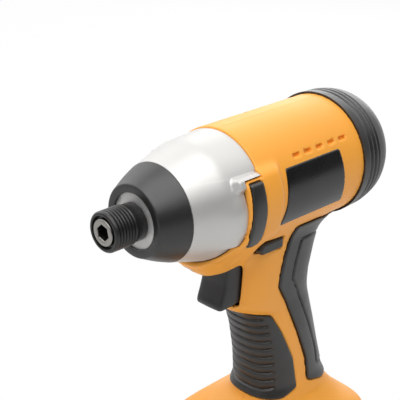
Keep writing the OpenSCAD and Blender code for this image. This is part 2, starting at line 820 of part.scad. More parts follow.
// Raised sides of the hammer case that lead into the housing's wings, grown by a distance
module case_bosses(grow) intersection() {
    root_r = case_shoulder_d / 2 - boss_root;
    top_r = wing_r - boss_drop + grow;
    rear = case_rear_x - wing_lead - seam_gap + grow;
    turned([[shoulder_x, root_r], [shoulder_x + boss_start, root_r],
        [shoulder_x + boss_start + boss_lead, top_r],
        [shelf_end + grow, top_r], [shelf_end + grow, root_r]]);
    union() {
        block([shoulder_x - over, -wing_d, -wing_bottom - grow], [rear, wing_d, boss_top + grow]);
        block([shoulder_x - over, -wing_d, lip_top + seam_gap - grow],
            [case_rear_x, wing_d, boss_top + grow]);
    }
}

// Screw places at the rear of the hammer case, each with Z pointing to the tail
module case_screw_places() for (at = [45:90:315])
    rotate([at, 0, 0]) translate([ring_end, 0, case_screw_circle]) rotate([0, 90, 0]) children();

module case_screws() color("#6d6f72") place() case_screw_places() union() {
    translate([0, 0, -case_screw_depth + over])
        cylinder(h = case_screw_depth - over + plate_gap + plate_end - plate_x + seat_gap,
        r = case_screw_r - seat_gap, $fn = pin_fn);
    translate([0, 0, plate_gap + plate_end - plate_x - case_screw_head])
        cylinder(h = case_screw_head, r = case_screw_head_r, $fn = pin_fn);
}

module anvil_bushing() color("#b08d57") place()
    tube(bushing_x + seat_gap, bushing_length, journal_r + run_gap, bushing_r);

module hammer() color("#6f7276") place() {
    middle = lug_half_angle + jaw_gap_angle + jaw_half_angle;
    difference() {
        union() {
            tube(hammer_x, hammer_length, spindle_r + run_gap, hammer_r);
            for (at = [middle, middle + 180])
                sector(hammer_x - jaw_length, jaw_length + over, jaw_inner_r, jaw_outer_r, at,
                jaw_half_angle);
        }
        tube(hammer_x + recess_floor, hammer_length, recess_inner_r, recess_outer_r);
        for (side = [-1, 1]) translate([hammer_x - over, side * cam_ball_ride_r, 0]) rotate([0, 90, 0])
            cylinder(h = over + cam_ball_back + cam_slot_tail, r = cam_ball_r + ball_gap, $fn = pin_fn);
    }
}

module hammer_spring() color("#8b8d90") place()
    coil(hammer_x + recess_floor + seat_gap,
        hammer_length - recess_floor + hammer_travel + carrier_gap - spring_washer_thick - 3 * seat_gap,
        hammer_spring_r, hammer_wire, hammer_spring_turns);

module spring_washer() color("#7b7d80") place()
    tube(carrier_x - spring_washer_thick - seat_gap, spring_washer_thick, recess_inner_r + washer_inset,
        recess_outer_r - washer_inset);

module cam_balls() color("#c5c8cc") place()
    for (side = [-1, 1]) translate([cam_ball_x, side * cam_ball_ride_r, 0])
        sphere(r = cam_ball_r, $fn = pin_fn);

module spindle() color("#84878b") place() difference() {
    union() {
        turned([[spindle_front_x - pilot_length + pilot_end_gap, 0],
            [spindle_front_x - pilot_length + pilot_end_gap, pilot_r],
            [spindle_front_x, pilot_r], [spindle_front_x, spindle_r], [carrier_x, spindle_r],
                [carrier_x, carrier_r],
            [carrier_x + carrier_plate, carrier_r], [carrier_x + carrier_plate, 0]]);
        turned([[carrier_rear_x, carrier_bore_r], [carrier_rear_x, carrier_r], [carrier_end, carrier_r],
            [carrier_end, spindle_journal_r],
            [bearing_x + bearing_length, spindle_journal_r],
                [bearing_x + bearing_length, carrier_bore_r]]);
        for (i = [0:planet_count - 1])
            sector(carrier_x + carrier_plate, carrier_rear_x - carrier_x - carrier_plate,
            web_inner_r, carrier_r, 360 * (i + 1 / 2) / planet_count, web_half_angle);
    }
    planet_places() translate([0, 0, -over])
        cylinder(h = carrier_end - carrier_x + 2 * over, r = pin_r + seat_gap, $fn = pin_fn);
    for (side = [-1, 1]) translate([cam_ball_x, side * cam_ball_ride_r, 0]) {
        sphere(r = cam_ball_r + ball_gap, $fn = pin_fn);
        for (way = [-1, 1]) rotate([90 * (1 - side), way * cam_leg_angle, 0])
            cylinder(h = cam_leg, r = cam_ball_r + ball_gap, $fn = pin_fn);
    }
}

// Planet pin axes from the carrier's front, each with Z along the tool axis
module planet_places() translate([carrier_x, 0, 0]) rotate([0, 90, 0])
    for (i = [0:planet_count - 1]) translate(polar(gear_centre, 360 * i / planet_count)) children();

module planet_pins() color("#a4a7ab") place() planet_places()
    cylinder(h = carrier_end - carrier_x, r = pin_r, $fn = pin_fn);

module planet_gear(i) color("#94979b") place() translate([planet_x, 0, 0]) rotate([0, 90, 0])
    translate(polar(gear_centre, 360 * i / planet_count)) rotate([0, 0, planet_turn(i)]) difference() {
        linear_extrude(gear_width) polygon(gear_outline(planet_teeth, addendum, dedendum, tooth_thin));
        translate([0, 0, -over]) cylinder(h = gear_width + 2 * over, r = pin_r + run_gap, $fn = pin_fn);
    }

module ring_gear() color("#808387") place() difference() {
    tube(ring_x, ring_length, case_bore_r / 2, case_bore_r - seat_gap);
    translate([ring_x - over, 0, 0]) rotate([0, 90, 0]) rotate([0, 0, ring_turn])
        linear_extrude(ring_length + 2 * over)
            polygon(gear_outline(ring_teeth, dedendum, addendum, -tooth_thin));
}

module gear_plate() color("#55585c") place() difference() {
    turned([[plate_x, carrier_r + clear_gap], [plate_x, spigot_r], [plate_end, spigot_r],
        [plate_end, plate_hole_r],
        [plate_end - plate_floor, plate_hole_r], [plate_end - plate_floor, bearing_r + seat_gap],
            [bearing_x - seat_gap, bearing_r + seat_gap],
        [bearing_x - seat_gap, carrier_r + clear_gap]]);
    case_screw_places() cylinder(h = plate_end - ring_end + over, r = case_screw_r, $fn = pin_fn);
    case_screw_places() translate([0, 0, plate_end - ring_end - case_screw_head - seat_gap])
        cylinder(h = case_screw_head + over, r = case_screw_head_r + seat_gap, $fn = pin_fn);
}

// Ball bearing drawn as one ring with its shields set back
module bearing(x, length, inner, outer)
    turned([[x, inner], [x, inner + bearing_rim], [x + bearing_shield, inner + bearing_rim],
    [x + bearing_shield, outer - bearing_rim], [x, outer - bearing_rim], [x, outer], [x + length, outer],
        [x + length, outer - bearing_rim],
    [x + length - bearing_shield, outer - bearing_rim],
        [x + length - bearing_shield, inner + bearing_rim], [x + length, inner + bearing_rim],
    [x + length, inner]]);

module spindle_bearing() color("#a9acb0") place()
    bearing(bearing_x, bearing_length - seat_gap, spindle_journal_r + run_gap, bearing_r);

module motor_can() color("#75787c") place() {
    tube(can_x, can_length, can_r - can_wall, can_r);
    tube(can_x, can_wall, rotor_bearing_r + seat_gap, can_r);
    tube(can_x, can_wall + rotor_bearing_length + seat_gap, rotor_bearing_r + seat_gap,
        rotor_bearing_r + boss_wall);
}

module motor_magnets() color("#3a3b3d") place() for (at = [0, 180])
    sector(core_x - magnet_overhang, core_length + 2 * magnet_overhang, core_r + magnet_gap,
        can_r - can_wall - seat_gap, at, magnet_half_angle);

module rotor_shaft() color("#aeb1b5") place()
    turned([[planet_x, 0], [planet_x, shaft_nose_r], [can_x, shaft_nose_r], [can_x, shaft_r],
        [rear_bearing_x, shaft_r],
        [rear_bearing_x, shaft_nose_r], [shaft_end, shaft_nose_r], [shaft_end, 0]]);

module rotor_core() color("#5f6266") place() difference() {
    tube(core_x, core_length, shaft_r + seat_gap, core_r);
    for (i = [0:core_slots - 1]) rotate([360 * i / core_slots, 0, 0])
        block([core_x - over, -core_slot_width / 2, core_slot_floor_r],
            [core_end + over, core_slot_width / 2, core_r + over]);
}

module rotor_windings() color("#b5651d") place() {
    tube(core_x - winding_length, winding_length - seat_gap, winding_inner_r, winding_outer_r);
    tube(core_end + seat_gap, winding_length - seat_gap, winding_inner_r, winding_outer_r);
    for (i = [0:core_slots - 1]) rotate([360 * i / core_slots, 0, 0])
        block([core_x - winding_length / 2, seat_gap - core_slot_width / 2, core_slot_floor_r + seat_gap],
            [core_end + winding_length / 2, core_slot_width / 2 - seat_gap, winding_outer_r]);
}

module commutator() color("#b87333") place()
    turned([[commutator_x, shaft_r + seat_gap], [commutator_x, commutator_r + commutator_riser],
        [commutator_x + commutator_riser, commutator_r + commutator_riser],
            [commutator_x + commutator_riser, commutator_r],
        [commutator_x + commutator_length, commutator_r],
            [commutator_x + commutator_length, shaft_r + seat_gap]]);

module sun_pinion() color("#9a9da1") place() translate([planet_x, 0, 0]) rotate([0, 90, 0]) difference() {
    linear_extrude(gear_width) polygon(gear_outline(sun_teeth, addendum, dedendum, tooth_thin));
    translate([0, 0, -over])
        cylinder(h = gear_width + 2 * over, r = shaft_nose_r + seat_gap, $fn = pin_fn);
}

module cooling_fan() color("#3f4144") place() {
    tube(fan_x, fan_length, shaft_nose_r + seat_gap, fan_hub_r);
    tube(fan_x, fan_plate, shaft_nose_r + seat_gap, fan_r);
    for (i = [0:fan_blades - 1]) rotate([360 * i / fan_blades, 0, 0])
        block([fan_x, -fan_blade_thick / 2, fan_hub_r - over],
            [fan_x + fan_length, fan_blade_thick / 2, fan_r - over]);
}

module rotor_bearings() color("#a9acb0") place() {
    bearing(front_bearing_x, rotor_bearing_length, shaft_r + run_gap, rotor_bearing_r);
    bearing(rear_bearing_x, rotor_bearing_length, shaft_nose_r + run_gap, rear_bearing_r);
}

module end_bell() color("#47494c") place() {
    turned([[bell_x, bell_cup_r], [bell_x, can_r], [bell_end, can_r - over],
        [bell_end, rear_bearing_r + seat_gap],
        [rear_bearing_x - seat_gap, rear_bearing_r + seat_gap], [rear_bearing_x - seat_gap, bell_cup_r]]);
}

// Brush places on both sides, each with Z pointing out from the tool axis and X along it
module brush_places() for (at = [90, 270]) rotate([at, 0, 0]) children();
brush_x = bell_x - brush_thick / 2 - holder_wall - 2 * seat_gap;

module brush_holders() color("#b49a4a") place() brush_places() difference() {
    block([brush_x - brush_thick / 2 - holder_wall, -brush_width / 2 - holder_wall,
        commutator_r + holder_lift],
        [brush_x + brush_thick / 2 + holder_wall, brush_width / 2 + holder_wall, holder_outer_r]);
    block([brush_x - brush_thick / 2 - seat_gap, -brush_width / 2 - seat_gap, commutator_r],
        [brush_x + brush_thick / 2 + seat_gap, brush_width / 2 + seat_gap,
            commutator_r + holder_lift + brush_length]);
}

module carbon_brushes() color("#2e2f31") place() brush_places()
    block([brush_x - brush_thick / 2, -brush_width / 2, commutator_r + seat_gap],
        [brush_x + brush_thick / 2, brush_width / 2,
            commutator_r + holder_lift + brush_length - seat_gap]);

// Outside of the barrel's tail, as places and radii, drawn in by a distance
function tail_outline(inset) = [for (s = tail_shares)
    [rear_bumper_x + s[0] * (rear_bumper_length - tail_skin) - inset,
        s[1] * barrel_r - tail_step - inset]];

module barrel() turned(concat([[housing_x, 0], [housing_x, barrel_r], [rear_bumper_x, barrel_r]],
    tail_outline(0), [[tail_x - tail_skin, 0]]));

module barrel_hollow() turned(concat([[housing_x - over, 0], [housing_x - over, barrel_inner_r],
    [rear_bumper_x, barrel_inner_r]],
    [for (p = tail_outline(housing_wall)) if (p[0] > rear_bumper_x) p],
        [[tail_x - tail_skin - housing_wall, 0]]));

module wings() intersection() {
    tube(case_rear_x - wing_lead, wing_lead + wing_tail, wing_base_r, wing_r);
    union() {
        block([housing_x - wing_d, -wing_d, -wing_bottom], [housing_x + wing_d, wing_d, lip_top]);
        block([shelf_end + seam_gap, -wing_d, -wing_bottom], [housing_x + wing_d, wing_d, wing_top]);
    }
}

// Space of the side pads in the wings, grown by a distance
module pad_space(grow, inner, outer) intersection() {
    front = case_rear_x - wing_lead + pad_front - grow;
    rear = front + pad_length + 2 * grow;
    low = -pad_bottom - grow;
    high = pad_top + grow;
    tube(case_rear_x - wing_lead, wing_lead + wing_tail, inner, outer);
    sideways(rounded([[front, low], [rear, low], [rear, high], [front, high]], pad_round), -wing_d,
        wing_d);
}

module side_pads() color("#343536") place()
    pad_space(0, wing_r - pad_depth + seat_gap, wing_r + pad_proud);

module chin() difference() {
    intersection() {
        union() {
            tube(chin_tip_x, chin_length + over, 0, chin_skin_r);
            translate([chin_tip_x, 0, chin_keel_r - chin_drop]) rotate([0, 90, 0])
                cylinder(h = chin_length + over, r = chin_keel_r, $fn = round_fn);
        }
        sideways(chin_outline(chin_shares), -barrel_r, barrel_r);
    }
    intersection() {
        translate([chin_tip_x, 0, chin_keel_r - chin_drop]) rotate([0, 90, 0])
            cylinder(h = chin_length + over, r = chin_keel_r - chin_wall, $fn = round_fn);
        sideways(chin_outline(chin_hollow_shares), -barrel_r, barrel_r);
    }
}

// Space that the hammer case takes inside the housing
module case_space() {
    turned(concat([[bumper_rear_x, 0]], case_outline(chin_side_gap), [[case_rear_x, 0]]));
    case_bosses(chin_side_gap);
}

// Slot in the foot that takes the rails of the pack, and the pocket of the terminal block
module foot_slot() {
    channel_x = foot_x - over;
    channel_end = foot_x + channel_end_lead;
    block([channel_x, -slot_half_width, foot_bottom + lip_height],
        [channel_end, slot_half_width, foot_bottom + channel_depth]);
    block([channel_x, -neck_half_width, foot_bottom - over],
        [channel_end, neck_half_width, foot_bottom + channel_depth]);
    block([channel_end - over, -block_half_width - block_gap, foot_bottom - over],
        [block_x + block_length + block_gap, block_half_width + block_gap,
            block_z + block_height + block_gap]);
    block([block_x, -2 * lead_door, block_z + block_height],
        [block_x + block_length, 2 * lead_door, over - stations[grip_rows][0]]);
}

module housing_body() difference() {
    union() {
        difference() {
            union() {
                barrel();
                handle_loft(0, len(stations) - 1, 0);
                chin();
            }
            case_space();
            barrel_hollow();
            handle_loft(0, grip_rows, -housing_wall);
            foot_slot();
        }
        wings();
        difference() {
            for (s = rib_shares) tube(can_x + s * can_length - rib_width / 2, rib_width,
                can_r + clear_gap,
                barrel_inner_r + housing_wall / 2);
            block([can_x, -lead_door, -barrel_inner_r + over], [can_end, lead_door, -can_r]);
        }
        for (p = grip_screws) cross_bar(p[0], p[1], -p[2], p[2], boss_r);
        intersection() {
            for (p = barrel_screws) cross_bar(p[0], p[1], -p[2], p[2], boss_r);
            tube(can_x, can_length, 0, barrel_inner_r + housing_wall / 2);
        }
        for (s = switch_rib_shares, side = [-1, 1]) block(
            [switch_x + s * switch_length, min(side * (switch_half_width + clear_gap), side * rib_reach),
                -switch_top - switch_height + switch_rib],
            [switch_x + s * switch_length + switch_rib,
                max(side * (switch_half_width + clear_gap), side * rib_reach), -switch_top - switch_rib]);
    }
    pad_space(seat_gap, wing_r - pad_depth, wing_r + over);
    for (side = [-1, 1]) {
        for (i = [0:vent_count - 1]) rotate([side * vent_angle, 0, 0])
            block([case_rear_x + vent_lead + i * vent_pitch, min(side * barrel_r / 2, side * wing_r),
                -vent_height / 2],
                [case_rear_x + vent_lead + i * vent_pitch + vent_length,
                    max(side * barrel_r / 2, side * wing_r), vent_height / 2]);
        selector_button(side, selector_gap, selector_hole_inner);
    }
    trigger_opening();
    translate([led_x, 0, -led_drop]) rotate([0, 90, 0])
        cylinder(h = 2 * chin_length, r = led_r + seat_gap, center = true, $fn = pin_fn);
    for (p = screw_places) cross_bar(p[0], p[1], screw_seat - screw_length, screw_seat,
        screw_r + seat_gap);
    for (p = screw_places) cross_bar(p[0], p[1], screw_seat, foot_width, screw_head_r + clear_gap);
}

module trigger_opening()
    block([trigger_x - over, -trigger_side - trigger_gap, -trigger_top - trigger_height - trigger_gap],
    [trigger_end + trigger_travel + trigger_gap, trigger_side + trigger_gap, -trigger_top + trigger_gap]);

// One side of the housing, cut at the middle
module housing_half(side) color("#f39a1f") place() intersection() {
    housing_body();
    block([0, min(0, side * foot_width), foot_bottom - over],
        [tail_x, max(0, side * foot_width), wing_r]);
}

module housing_left() housing_half(-1);

module housing_right() housing_half(1);

module label_plates() color("#1d1d1e") place() intersection() {
    tube(case_rear_x + label_lead - over, label_length + 2 * over, barrel_r + seat_gap,
        barrel_r + label_thick);
    sideways([for (s = label_shares) [case_rear_x + label_lead + s[0] * label_length,
        label_top - label_height * (1 - s[1])]], -wing_d, wing_d);
}

// Rubber over the handle inside a side outline
module rubber_skin(outline) intersection() {
    difference() {
        handle_loft(0, grip_rows, rubber);
        handle_loft(0, grip_rows, seat_gap);
    }
    sideways(outline, -foot_width, foot_width);
}

module side_grip(side) color("#2f3031") place() intersection() {
    difference() {
        rubber_skin(grip_outline(side_grip_shares));
        tube(housing_x, housing_length, 0, barrel_r + seat_gap);
        for (s = [-1, 1]) selector_button(s, 2 * selector_gap, selector_inner - over);
    }
    block([0, min(0, side * foot_width), foot_bottom], [tail_x, max(0, side * foot_width), 0]);
}

module grip_left() side_grip(-1);

module grip_right() side_grip(1);

module front_grip() color("#2f3031") place() rubber_skin(grip_outline(front_grip_shares));

module rear_bumper() color("#2a2a2b") place()
    turned(concat([[rear_bumper_x + seat_gap, barrel_r - tail_step + seat_gap]],
        [for (p = tail_outline(0)) if (p[0] > rear_bumper_x) p + [0, seat_gap]],
        [[tail_x - tail_skin + seat_gap, 0], [tail_x, 0]],
        [for (i = [len(tail_shares) - 1:-1:0])
            tail_outline(0)[i] + [tail_skin * tail_shares[i][0], tail_skin]]));

module housing_screws() color("#3c3d3f") place() for (p = screw_places) difference() {
    union() {
        cross_bar(p[0], p[1], screw_seat - screw_length + over, screw_seat + seat_gap, screw_r);
        cross_bar(p[0], p[1], screw_seat + seat_gap, screw_seat + screw_head, screw_head_r);
    }
    translate([p[0], screw_seat + screw_head - screw_drive_depth, p[1]]) rotate([-90, 0, 0])
        cylinder(h = screw_drive_depth + over, r = screw_drive_r, $fn = 6);
}

module trigger() color("#333435") place() difference() {
    union() {
        intersection() {
            sideways([for (s = trigger_shares)
                [trigger_x + s[0] * trigger_depth, -trigger_top - s[1] * trigger_height]], -trigger_side,
                trigger_side);
            union() {
                translate([trigger_x + trigger_bow_r, 0, -trigger_top - trigger_height])
                    cylinder(h = trigger_height, r = trigger_bow_r, $fn = round_fn);
                block([trigger_x + trigger_bow_r, -trigger_side, -trigger_top - trigger_height],
                    [trigger_end, trigger_side, -trigger_top]);
            }
        }
        translate([trigger_end - trigger_pocket - over, 0, -stem_drop]) rotate([0, 90, 0])
            cylinder(h = stem_length + trigger_pocket + over, r = stem_r, $fn = pin_fn);
    }
    translate([trigger_end - trigger_pocket, 0, -stem_drop]) rotate([0, 90, 0]) difference() {
        cylinder(h = trigger_pocket + over, r = trigger_pocket_r, $fn = pin_fn);
        cylinder(h = trigger_pocket + over, r = stem_r, $fn = pin_fn);
    }
}

module trigger_spring() color("#9a9a9a") place() translate([0, 0, -stem_drop])
    coil(trigger_end - trigger_pocket + seat_gap,
        trigger_pocket + trigger_travel + switch_gap - 2 * seat_gap, trigger_spring_r, trigger_wire,
        trigger_spring_turns);

module switch_module() color("#26282b") place() difference() {
    block([switch_x, -switch_half_width, -switch_top - switch_height],
        [switch_x + switch_length, switch_half_width, -switch_top]);
    translate([switch_x - over, 0, -stem_drop]) rotate([0, 90, 0])
        cylinder(h = stem_bore_depth + over, r = stem_r + stem_gap, $fn = pin_fn);
}

// Outline of the selector's button in side view, with a pointed front, grown by a distance
function selector_outline(grow) =
    [[selector_x - grow, -selector_drop],
    [selector_x + selector_height / 2, -selector_drop - selector_height / 2 - grow],
    [selector_x + selector_length + grow, -selector_drop - selector_height / 2 - grow],
    [selector_x + selector_length + grow, -selector_drop + selector_height / 2 + grow],
    [selector_x + selector_height / 2, -selector_drop + selector_height / 2 + grow]];

module selector_button(side, grow, inner)
    sideways(selector_outline(grow), min(side * inner, side * (selector_reach + over * grow)),
    max(side * inner, side * (selector_reach + over * grow)));

module direction_selector() color("#2c2d2e") place() {
    link_x = selector_x + selector_length - selector_link_length;
    for (side = [-1, 1]) selector_button(side, 0, selector_inner);
    block([link_x, -selector_inner - over, -selector_link_top - selector_link_height],
        [link_x + selector_link_length, selector_inner + over, -selector_link_top]);
}

module led_lens() color("#f2f4f5") place() intersection() {
    translate([led_x, 0, -led_drop]) rotate([0, 90, 0])
        cylinder(h = 2 * chin_length, r = led_r, center = true, $fn = pin_fn);
    sideways(chin_outline(chin_shares), -barrel_r, barrel_r);
    block([chin_tip_x, -led_r, -chin_drop], [led_x, led_r, 0]);
}

module led_board() color("#2f6b3c") place()
    block([led_x + seat_gap, -led_board_width / 2, -led_drop - led_board_height / 2],
        [led_x + led_board_thick, led_board_width / 2, -led_drop + led_board_height / 2]);

module motor_leads() color("#a52a2a") place() for (side = [-1, 1]) scale([1, side, 1])
    lead(motor_lead_route);

module supply_leads() color("#222222") place() for (side = [-1, 1]) scale([1, side, 1])
    lead(supply_lead_route);

// Blade places, from the middle of each blade
module blade_places() for (i = [0:blade_count - 1])
    translate([0, (i - (blade_count - 1) / 2) * blade_spacing, 0]) children();

module terminal_block() color("#1f2022") place() {
    block([block_x, -block_half_width, block_z],
        [block_x + block_length, block_half_width, block_z + block_height]);
    blade_places() block([block_x - blade_length, -blade_thick / 2, blade_z],
        [block_x + over, blade_thick / 2, blade_z + blade_height]);
}

// Plan outline of the pack, drawn in by a distance
function pack_outline(inset) =
    [for (p = rounded(oblong(battery_length - 2 * inset, battery_width - 2 * inset),
    battery_round - inset, 6))
    p + [battery_x + battery_length / 2, 0]];

module battery_top() color("#2b2c2e") place() {
    roof_z = battery_top_z - battery_wall;
    difference() {
        union() {
            upright(pack_outline(0), battery_split_z, battery_top_z - battery_split_z);
            block([rail_x, -rail_neck, battery_top_z - over], [rail_end, rail_neck, rail_top_z]);
            block([rail_x, -rail_half_width, rail_lip_z], [rail_end, rail_half_width, rail_top_z]);
        }
        difference() {
            upright(pack_outline(battery_wall), battery_split_z - over, roof_z - battery_split_z + over);
            block([battery_x, -release_width / 2 - release_gap - release_wall,
                release_floor_z - release_wall],
                [battery_x + release_depth + 2 * release_gap + release_wall,
                    release_width / 2 + release_gap + release_wall, battery_top_z]);
            for (side = [-1, 1]) translate([pack_screw_x, side * pack_screw_spread, battery_split_z])
                cylinder(h = battery_height, r = pack_boss_r, $fn = pin_fn);
        }
        block([rail_x + rail_wall, -rail_neck + rail_wall, roof_z - over],
            [rail_end - rail_wall, rail_neck - rail_wall, rail_top_z - rail_wall]);
        block([battery_x - over, -release_width / 2 - release_gap, release_floor_z],
            [battery_x + release_depth + 2 * release_gap, release_width / 2 + release_gap,
            battery_top_z + over]);
        blade_places() block([rail_end - blade_length - over, -blade_thick / 2 - blade_gap,
            blade_z - blade_gap], [rail_end + over, blade_thick / 2 + blade_gap, rail_top_z + over]);
        for (side = [-1, 1]) translate([pack_screw_x, side * pack_screw_spread, battery_split_z - over])
            cylinder(h = pack_screw_length - pack_screw_sink, r = pack_screw_r + seat_gap, $fn = pin_fn);
    }
}

module battery_base() color("#242527") place() difference() {
    upright(pack_outline(0), battery_bottom_z, battery_split_z - battery_bottom_z);
    difference() {
        upright(pack_outline(battery_wall), battery_bottom_z + battery_wall, battery_height);
        for (side = [-1, 1]) translate([pack_screw_x, side * pack_screw_spread, battery_bottom_z])
            cylinder(h = battery_height, r = pack_foot_r, $fn = pin_fn);
    }
    for (side = [-1, 1]) translate([pack_screw_x, side * pack_screw_spread, battery_bottom_z - over]) {
        cylinder(h = battery_height, r = pack_screw_r + seat_gap, $fn = pin_fn);
        cylinder(h = over + pack_screw_sink + pack_screw_head, r = pack_screw_head_r + seat_gap,
            $fn = pin_fn);
    }
}

module battery_screws() color("#6a6c6f") place() for (side = [-1, 1])
    translate([pack_screw_x, side * pack_screw_spread, battery_bottom_z + pack_screw_sink]) {
        cylinder(h = pack_screw_head, r = pack_screw_head_r, $fn = pin_fn);
        cylinder(h = pack_screw_length, r = pack_screw_r, $fn = pin_fn);
    }

module battery_cells() color("#3b6ea8") place() for (i = [0:cell_count - 1])
    cross_bar(cell_first_x + i * cell_pitch, cell_z, -cell_length / 2, cell_length / 2, cell_d / 2);

module cell_straps() color("#c0c2c4")
    place() for (i = [0:cell_count - 2], side = [-1, 1]) if ((i % 2 == 0) == (side > 0))
    block([cell_first_x + i * cell_pitch - strap_height / 2,
        side * (cell_length / 2 + strap_gap + strap_thick / 2) - strap_thick / 2,
        cell_z - strap_height / 2],
        [cell_first_x + (i + 1) * cell_pitch + strap_height / 2,
            side * (cell_length / 2 + strap_gap + strap_thick / 2) + strap_thick / 2,
            cell_z + strap_height / 2]);

module battery_contacts() color("#c9b26b") place() blade_places() for (side = [-1, 1])
    block([rail_end - blade_length,
        min(side * (blade_thick / 2 + clear_gap),
        side * (blade_thick / 2 + clear_gap + contact_thick / 2)), blade_z],
        [rail_end - blade_length + contact_length,
            max(side * (blade_thick / 2 + clear_gap),
            side * (blade_thick / 2 + clear_gap + contact_thick / 2)), blade_z + contact_height]);

module release_button() color("#3a3b3d") place() difference() {
    translate([battery_x + release_gap + release_depth / 2, 0,
        battery_top_z - release_gap - release_height])
        linear_extrude(release_height)
            polygon(rounded(oblong(release_depth, release_width), release_round));
    for (side = [-1, 1]) release_spring_place(side) translate([0, 0, -over])
        cylinder(h = release_bore + over, r = release_bore_r, $fn = pin_fn);
}

// Foot of each release spring's bore, with Z upwards
module release_spring_place(side)
    translate([battery_x + release_gap + release_depth / 2, side * release_width / 4,
    battery_top_z - release_gap - release_height]) children();

module release_spring() color("#9a9a9a") place() for (side = [-1, 1]) release_spring_place(side)
    translate([0, 0, release_bore - seat_gap]) rotate([0, 90, 0])
        coil(0, release_bore + release_travel + release_floor_gap - 2 * seat_gap, release_spring_r,
            release_wire, release_spring_turns);

module planet_gear_1() planet_gear(0);
module planet_gear_2() planet_gear(1);
module planet_gear_3() planet_gear(2);

anvil();
chuck_sleeve();
sleeve_spring();
sleeve_washer();
sleeve_snap_ring();
bit_balls();
nose_bumper();
hammer_case();
anvil_bushing();
hammer();
hammer_spring();
spring_washer();
cam_balls();
spindle();
planet_pins();
planet_gear_1();
planet_gear_2();
planet_gear_3();
ring_gear();
gear_plate();
spindle_bearing();
case_screws();
motor_can();
motor_magnets();
rotor_shaft();
rotor_core();
rotor_windings();
commutator();
sun_pinion();
cooling_fan();
rotor_bearings();
end_bell();
brush_holders();
carbon_brushes();
housing_left();
housing_right();
side_pads();
label_plates();
grip_left();
grip_right();
front_grip();
rear_bumper();
housing_screws();
trigger();
trigger_spring();
switch_module();
direction_selector();
led_lens();
led_board();
motor_leads();
supply_leads();
terminal_block();
battery_top();
battery_base();
battery_cells();
cell_straps();
battery_contacts();
release_button();
release_spring();
battery_screws();
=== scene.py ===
"""Dresses the impact driver's solids with moulded shells, rubber and metal finishes."""
import json
import math

import bpy
import numpy as np
from bpy.props import FloatProperty, FloatVectorProperty, IntProperty, PointerProperty
from mathutils import Matrix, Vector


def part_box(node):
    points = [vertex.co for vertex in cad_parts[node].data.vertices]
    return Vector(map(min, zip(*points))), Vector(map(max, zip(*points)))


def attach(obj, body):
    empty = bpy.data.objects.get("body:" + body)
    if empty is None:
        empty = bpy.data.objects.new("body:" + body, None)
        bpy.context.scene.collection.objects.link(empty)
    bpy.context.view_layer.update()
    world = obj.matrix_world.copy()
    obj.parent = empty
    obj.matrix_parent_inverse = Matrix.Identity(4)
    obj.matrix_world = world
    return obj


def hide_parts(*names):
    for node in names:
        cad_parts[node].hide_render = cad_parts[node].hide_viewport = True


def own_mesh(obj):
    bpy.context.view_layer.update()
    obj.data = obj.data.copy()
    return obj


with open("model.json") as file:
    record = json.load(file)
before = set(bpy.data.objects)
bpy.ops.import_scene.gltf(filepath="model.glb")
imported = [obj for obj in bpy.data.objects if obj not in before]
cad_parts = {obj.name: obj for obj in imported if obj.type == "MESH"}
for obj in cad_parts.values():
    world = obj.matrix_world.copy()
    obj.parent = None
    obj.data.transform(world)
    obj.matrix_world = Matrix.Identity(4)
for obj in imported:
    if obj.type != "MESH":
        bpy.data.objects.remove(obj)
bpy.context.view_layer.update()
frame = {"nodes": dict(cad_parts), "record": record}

bl_info = {
    "name": "Impact driver",
    "version": (1, 0, 0),
    "blender": (4, 5, 0),
    "location": "View3D > Sidebar > Impact driver",
    "description": "Moulded shells, rubber, metal and pack of a cordless impact driver",
    "category": "Add Mesh",
}

sleeve_low, sleeve_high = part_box("chuck_sleeve")
# Front of the chuck sleeve on the tool axis, in metres: every shape below is in mm from here
NOSE = np.array([sleeve_low.x, 0.0, (sleeve_low.z + sleeve_high.z) / 2])

# Handle sections as drop below the axis, front, rear, half width and power of the rounded outline
HANDLE = np.array([
    (12.0, 71.0, 127.0, 19.5, 3.0), (24.0, 71.2, 125.5, 19.5, 3.2), (36.0, 71.6, 122.0, 18.6, 3.0),
    (50.0, 69.8, 119.5, 17.6, 2.9), (57.0, 68.2, 119.7, 17.2, 2.8), (61.2, 70.5, 120.2, 17.0, 2.7),
    (65.8, 80.3, 121.2, 17.0, 2.5), (80.0, 85.2, 125.0, 17.4, 2.5), (96.0, 87.8, 129.5, 17.4, 2.5),
    (110.0, 88.8, 133.5, 17.6, 2.6), (119.0, 86.0, 137.5, 20.0, 2.8), (125.0, 77.0, 142.0, 26.0, 3.2),
    (129.0, 66.0, 146.5, 32.5, 4.0), (132.0, 60.0, 149.5, 35.4, 5.0), (144.4, 58.0, 150.5, 36.0, 6.0)])
# Side outlines of place along the axis and height
CHIN = [(54, -14), (43.2, -27.8), (43.8, -31), (48, -38), (54, -41), (58, -40.4), (62, -38.8), (72, -35), (72, -14)]
LABEL = [(82.2, 13.1), (81.5, 6), (81, -3), (80.4, -8), (79.4, -13.4), (97, -15.2), (122.5, -15.2), (119.3, 13.1)]
SIDE_GRIP = [(97, -20.6), (95, -27), (92.7, -34.5), (91.1, -43), (90.3, -51.2), (96.3, -61.3), (104.7, -80),
             (112, -98), (114, -112), (125.6, -115.5), (152.6, -115.5), (141.4, -28), (112, -21)]
FRONT_GRIP = [(59.6, -63.8), (77.8, -64.7), (88.5, -66.6), (95, -77.5), (103, -95), (106, -112), (96.3, -115.5),
              (71.6, -115.5)]
# The first six points of the trigger are its finger face
TRIGGER = [(64.6, -34.6), (64.2, -40), (63.3, -45.5), (61.9, -50), (60.5, -53.6), (59.9, -55.6), (60.6, -57.3),
           (62.6, -57.5), (66, -56.7), (72, -55.8), (80, -55.8), (80, -34.6)]
SELECTOR = [(73.5, -26.6), (76.4, -29.5), (90, -29.5), (90, -23.7), (76.4, -23.7)]
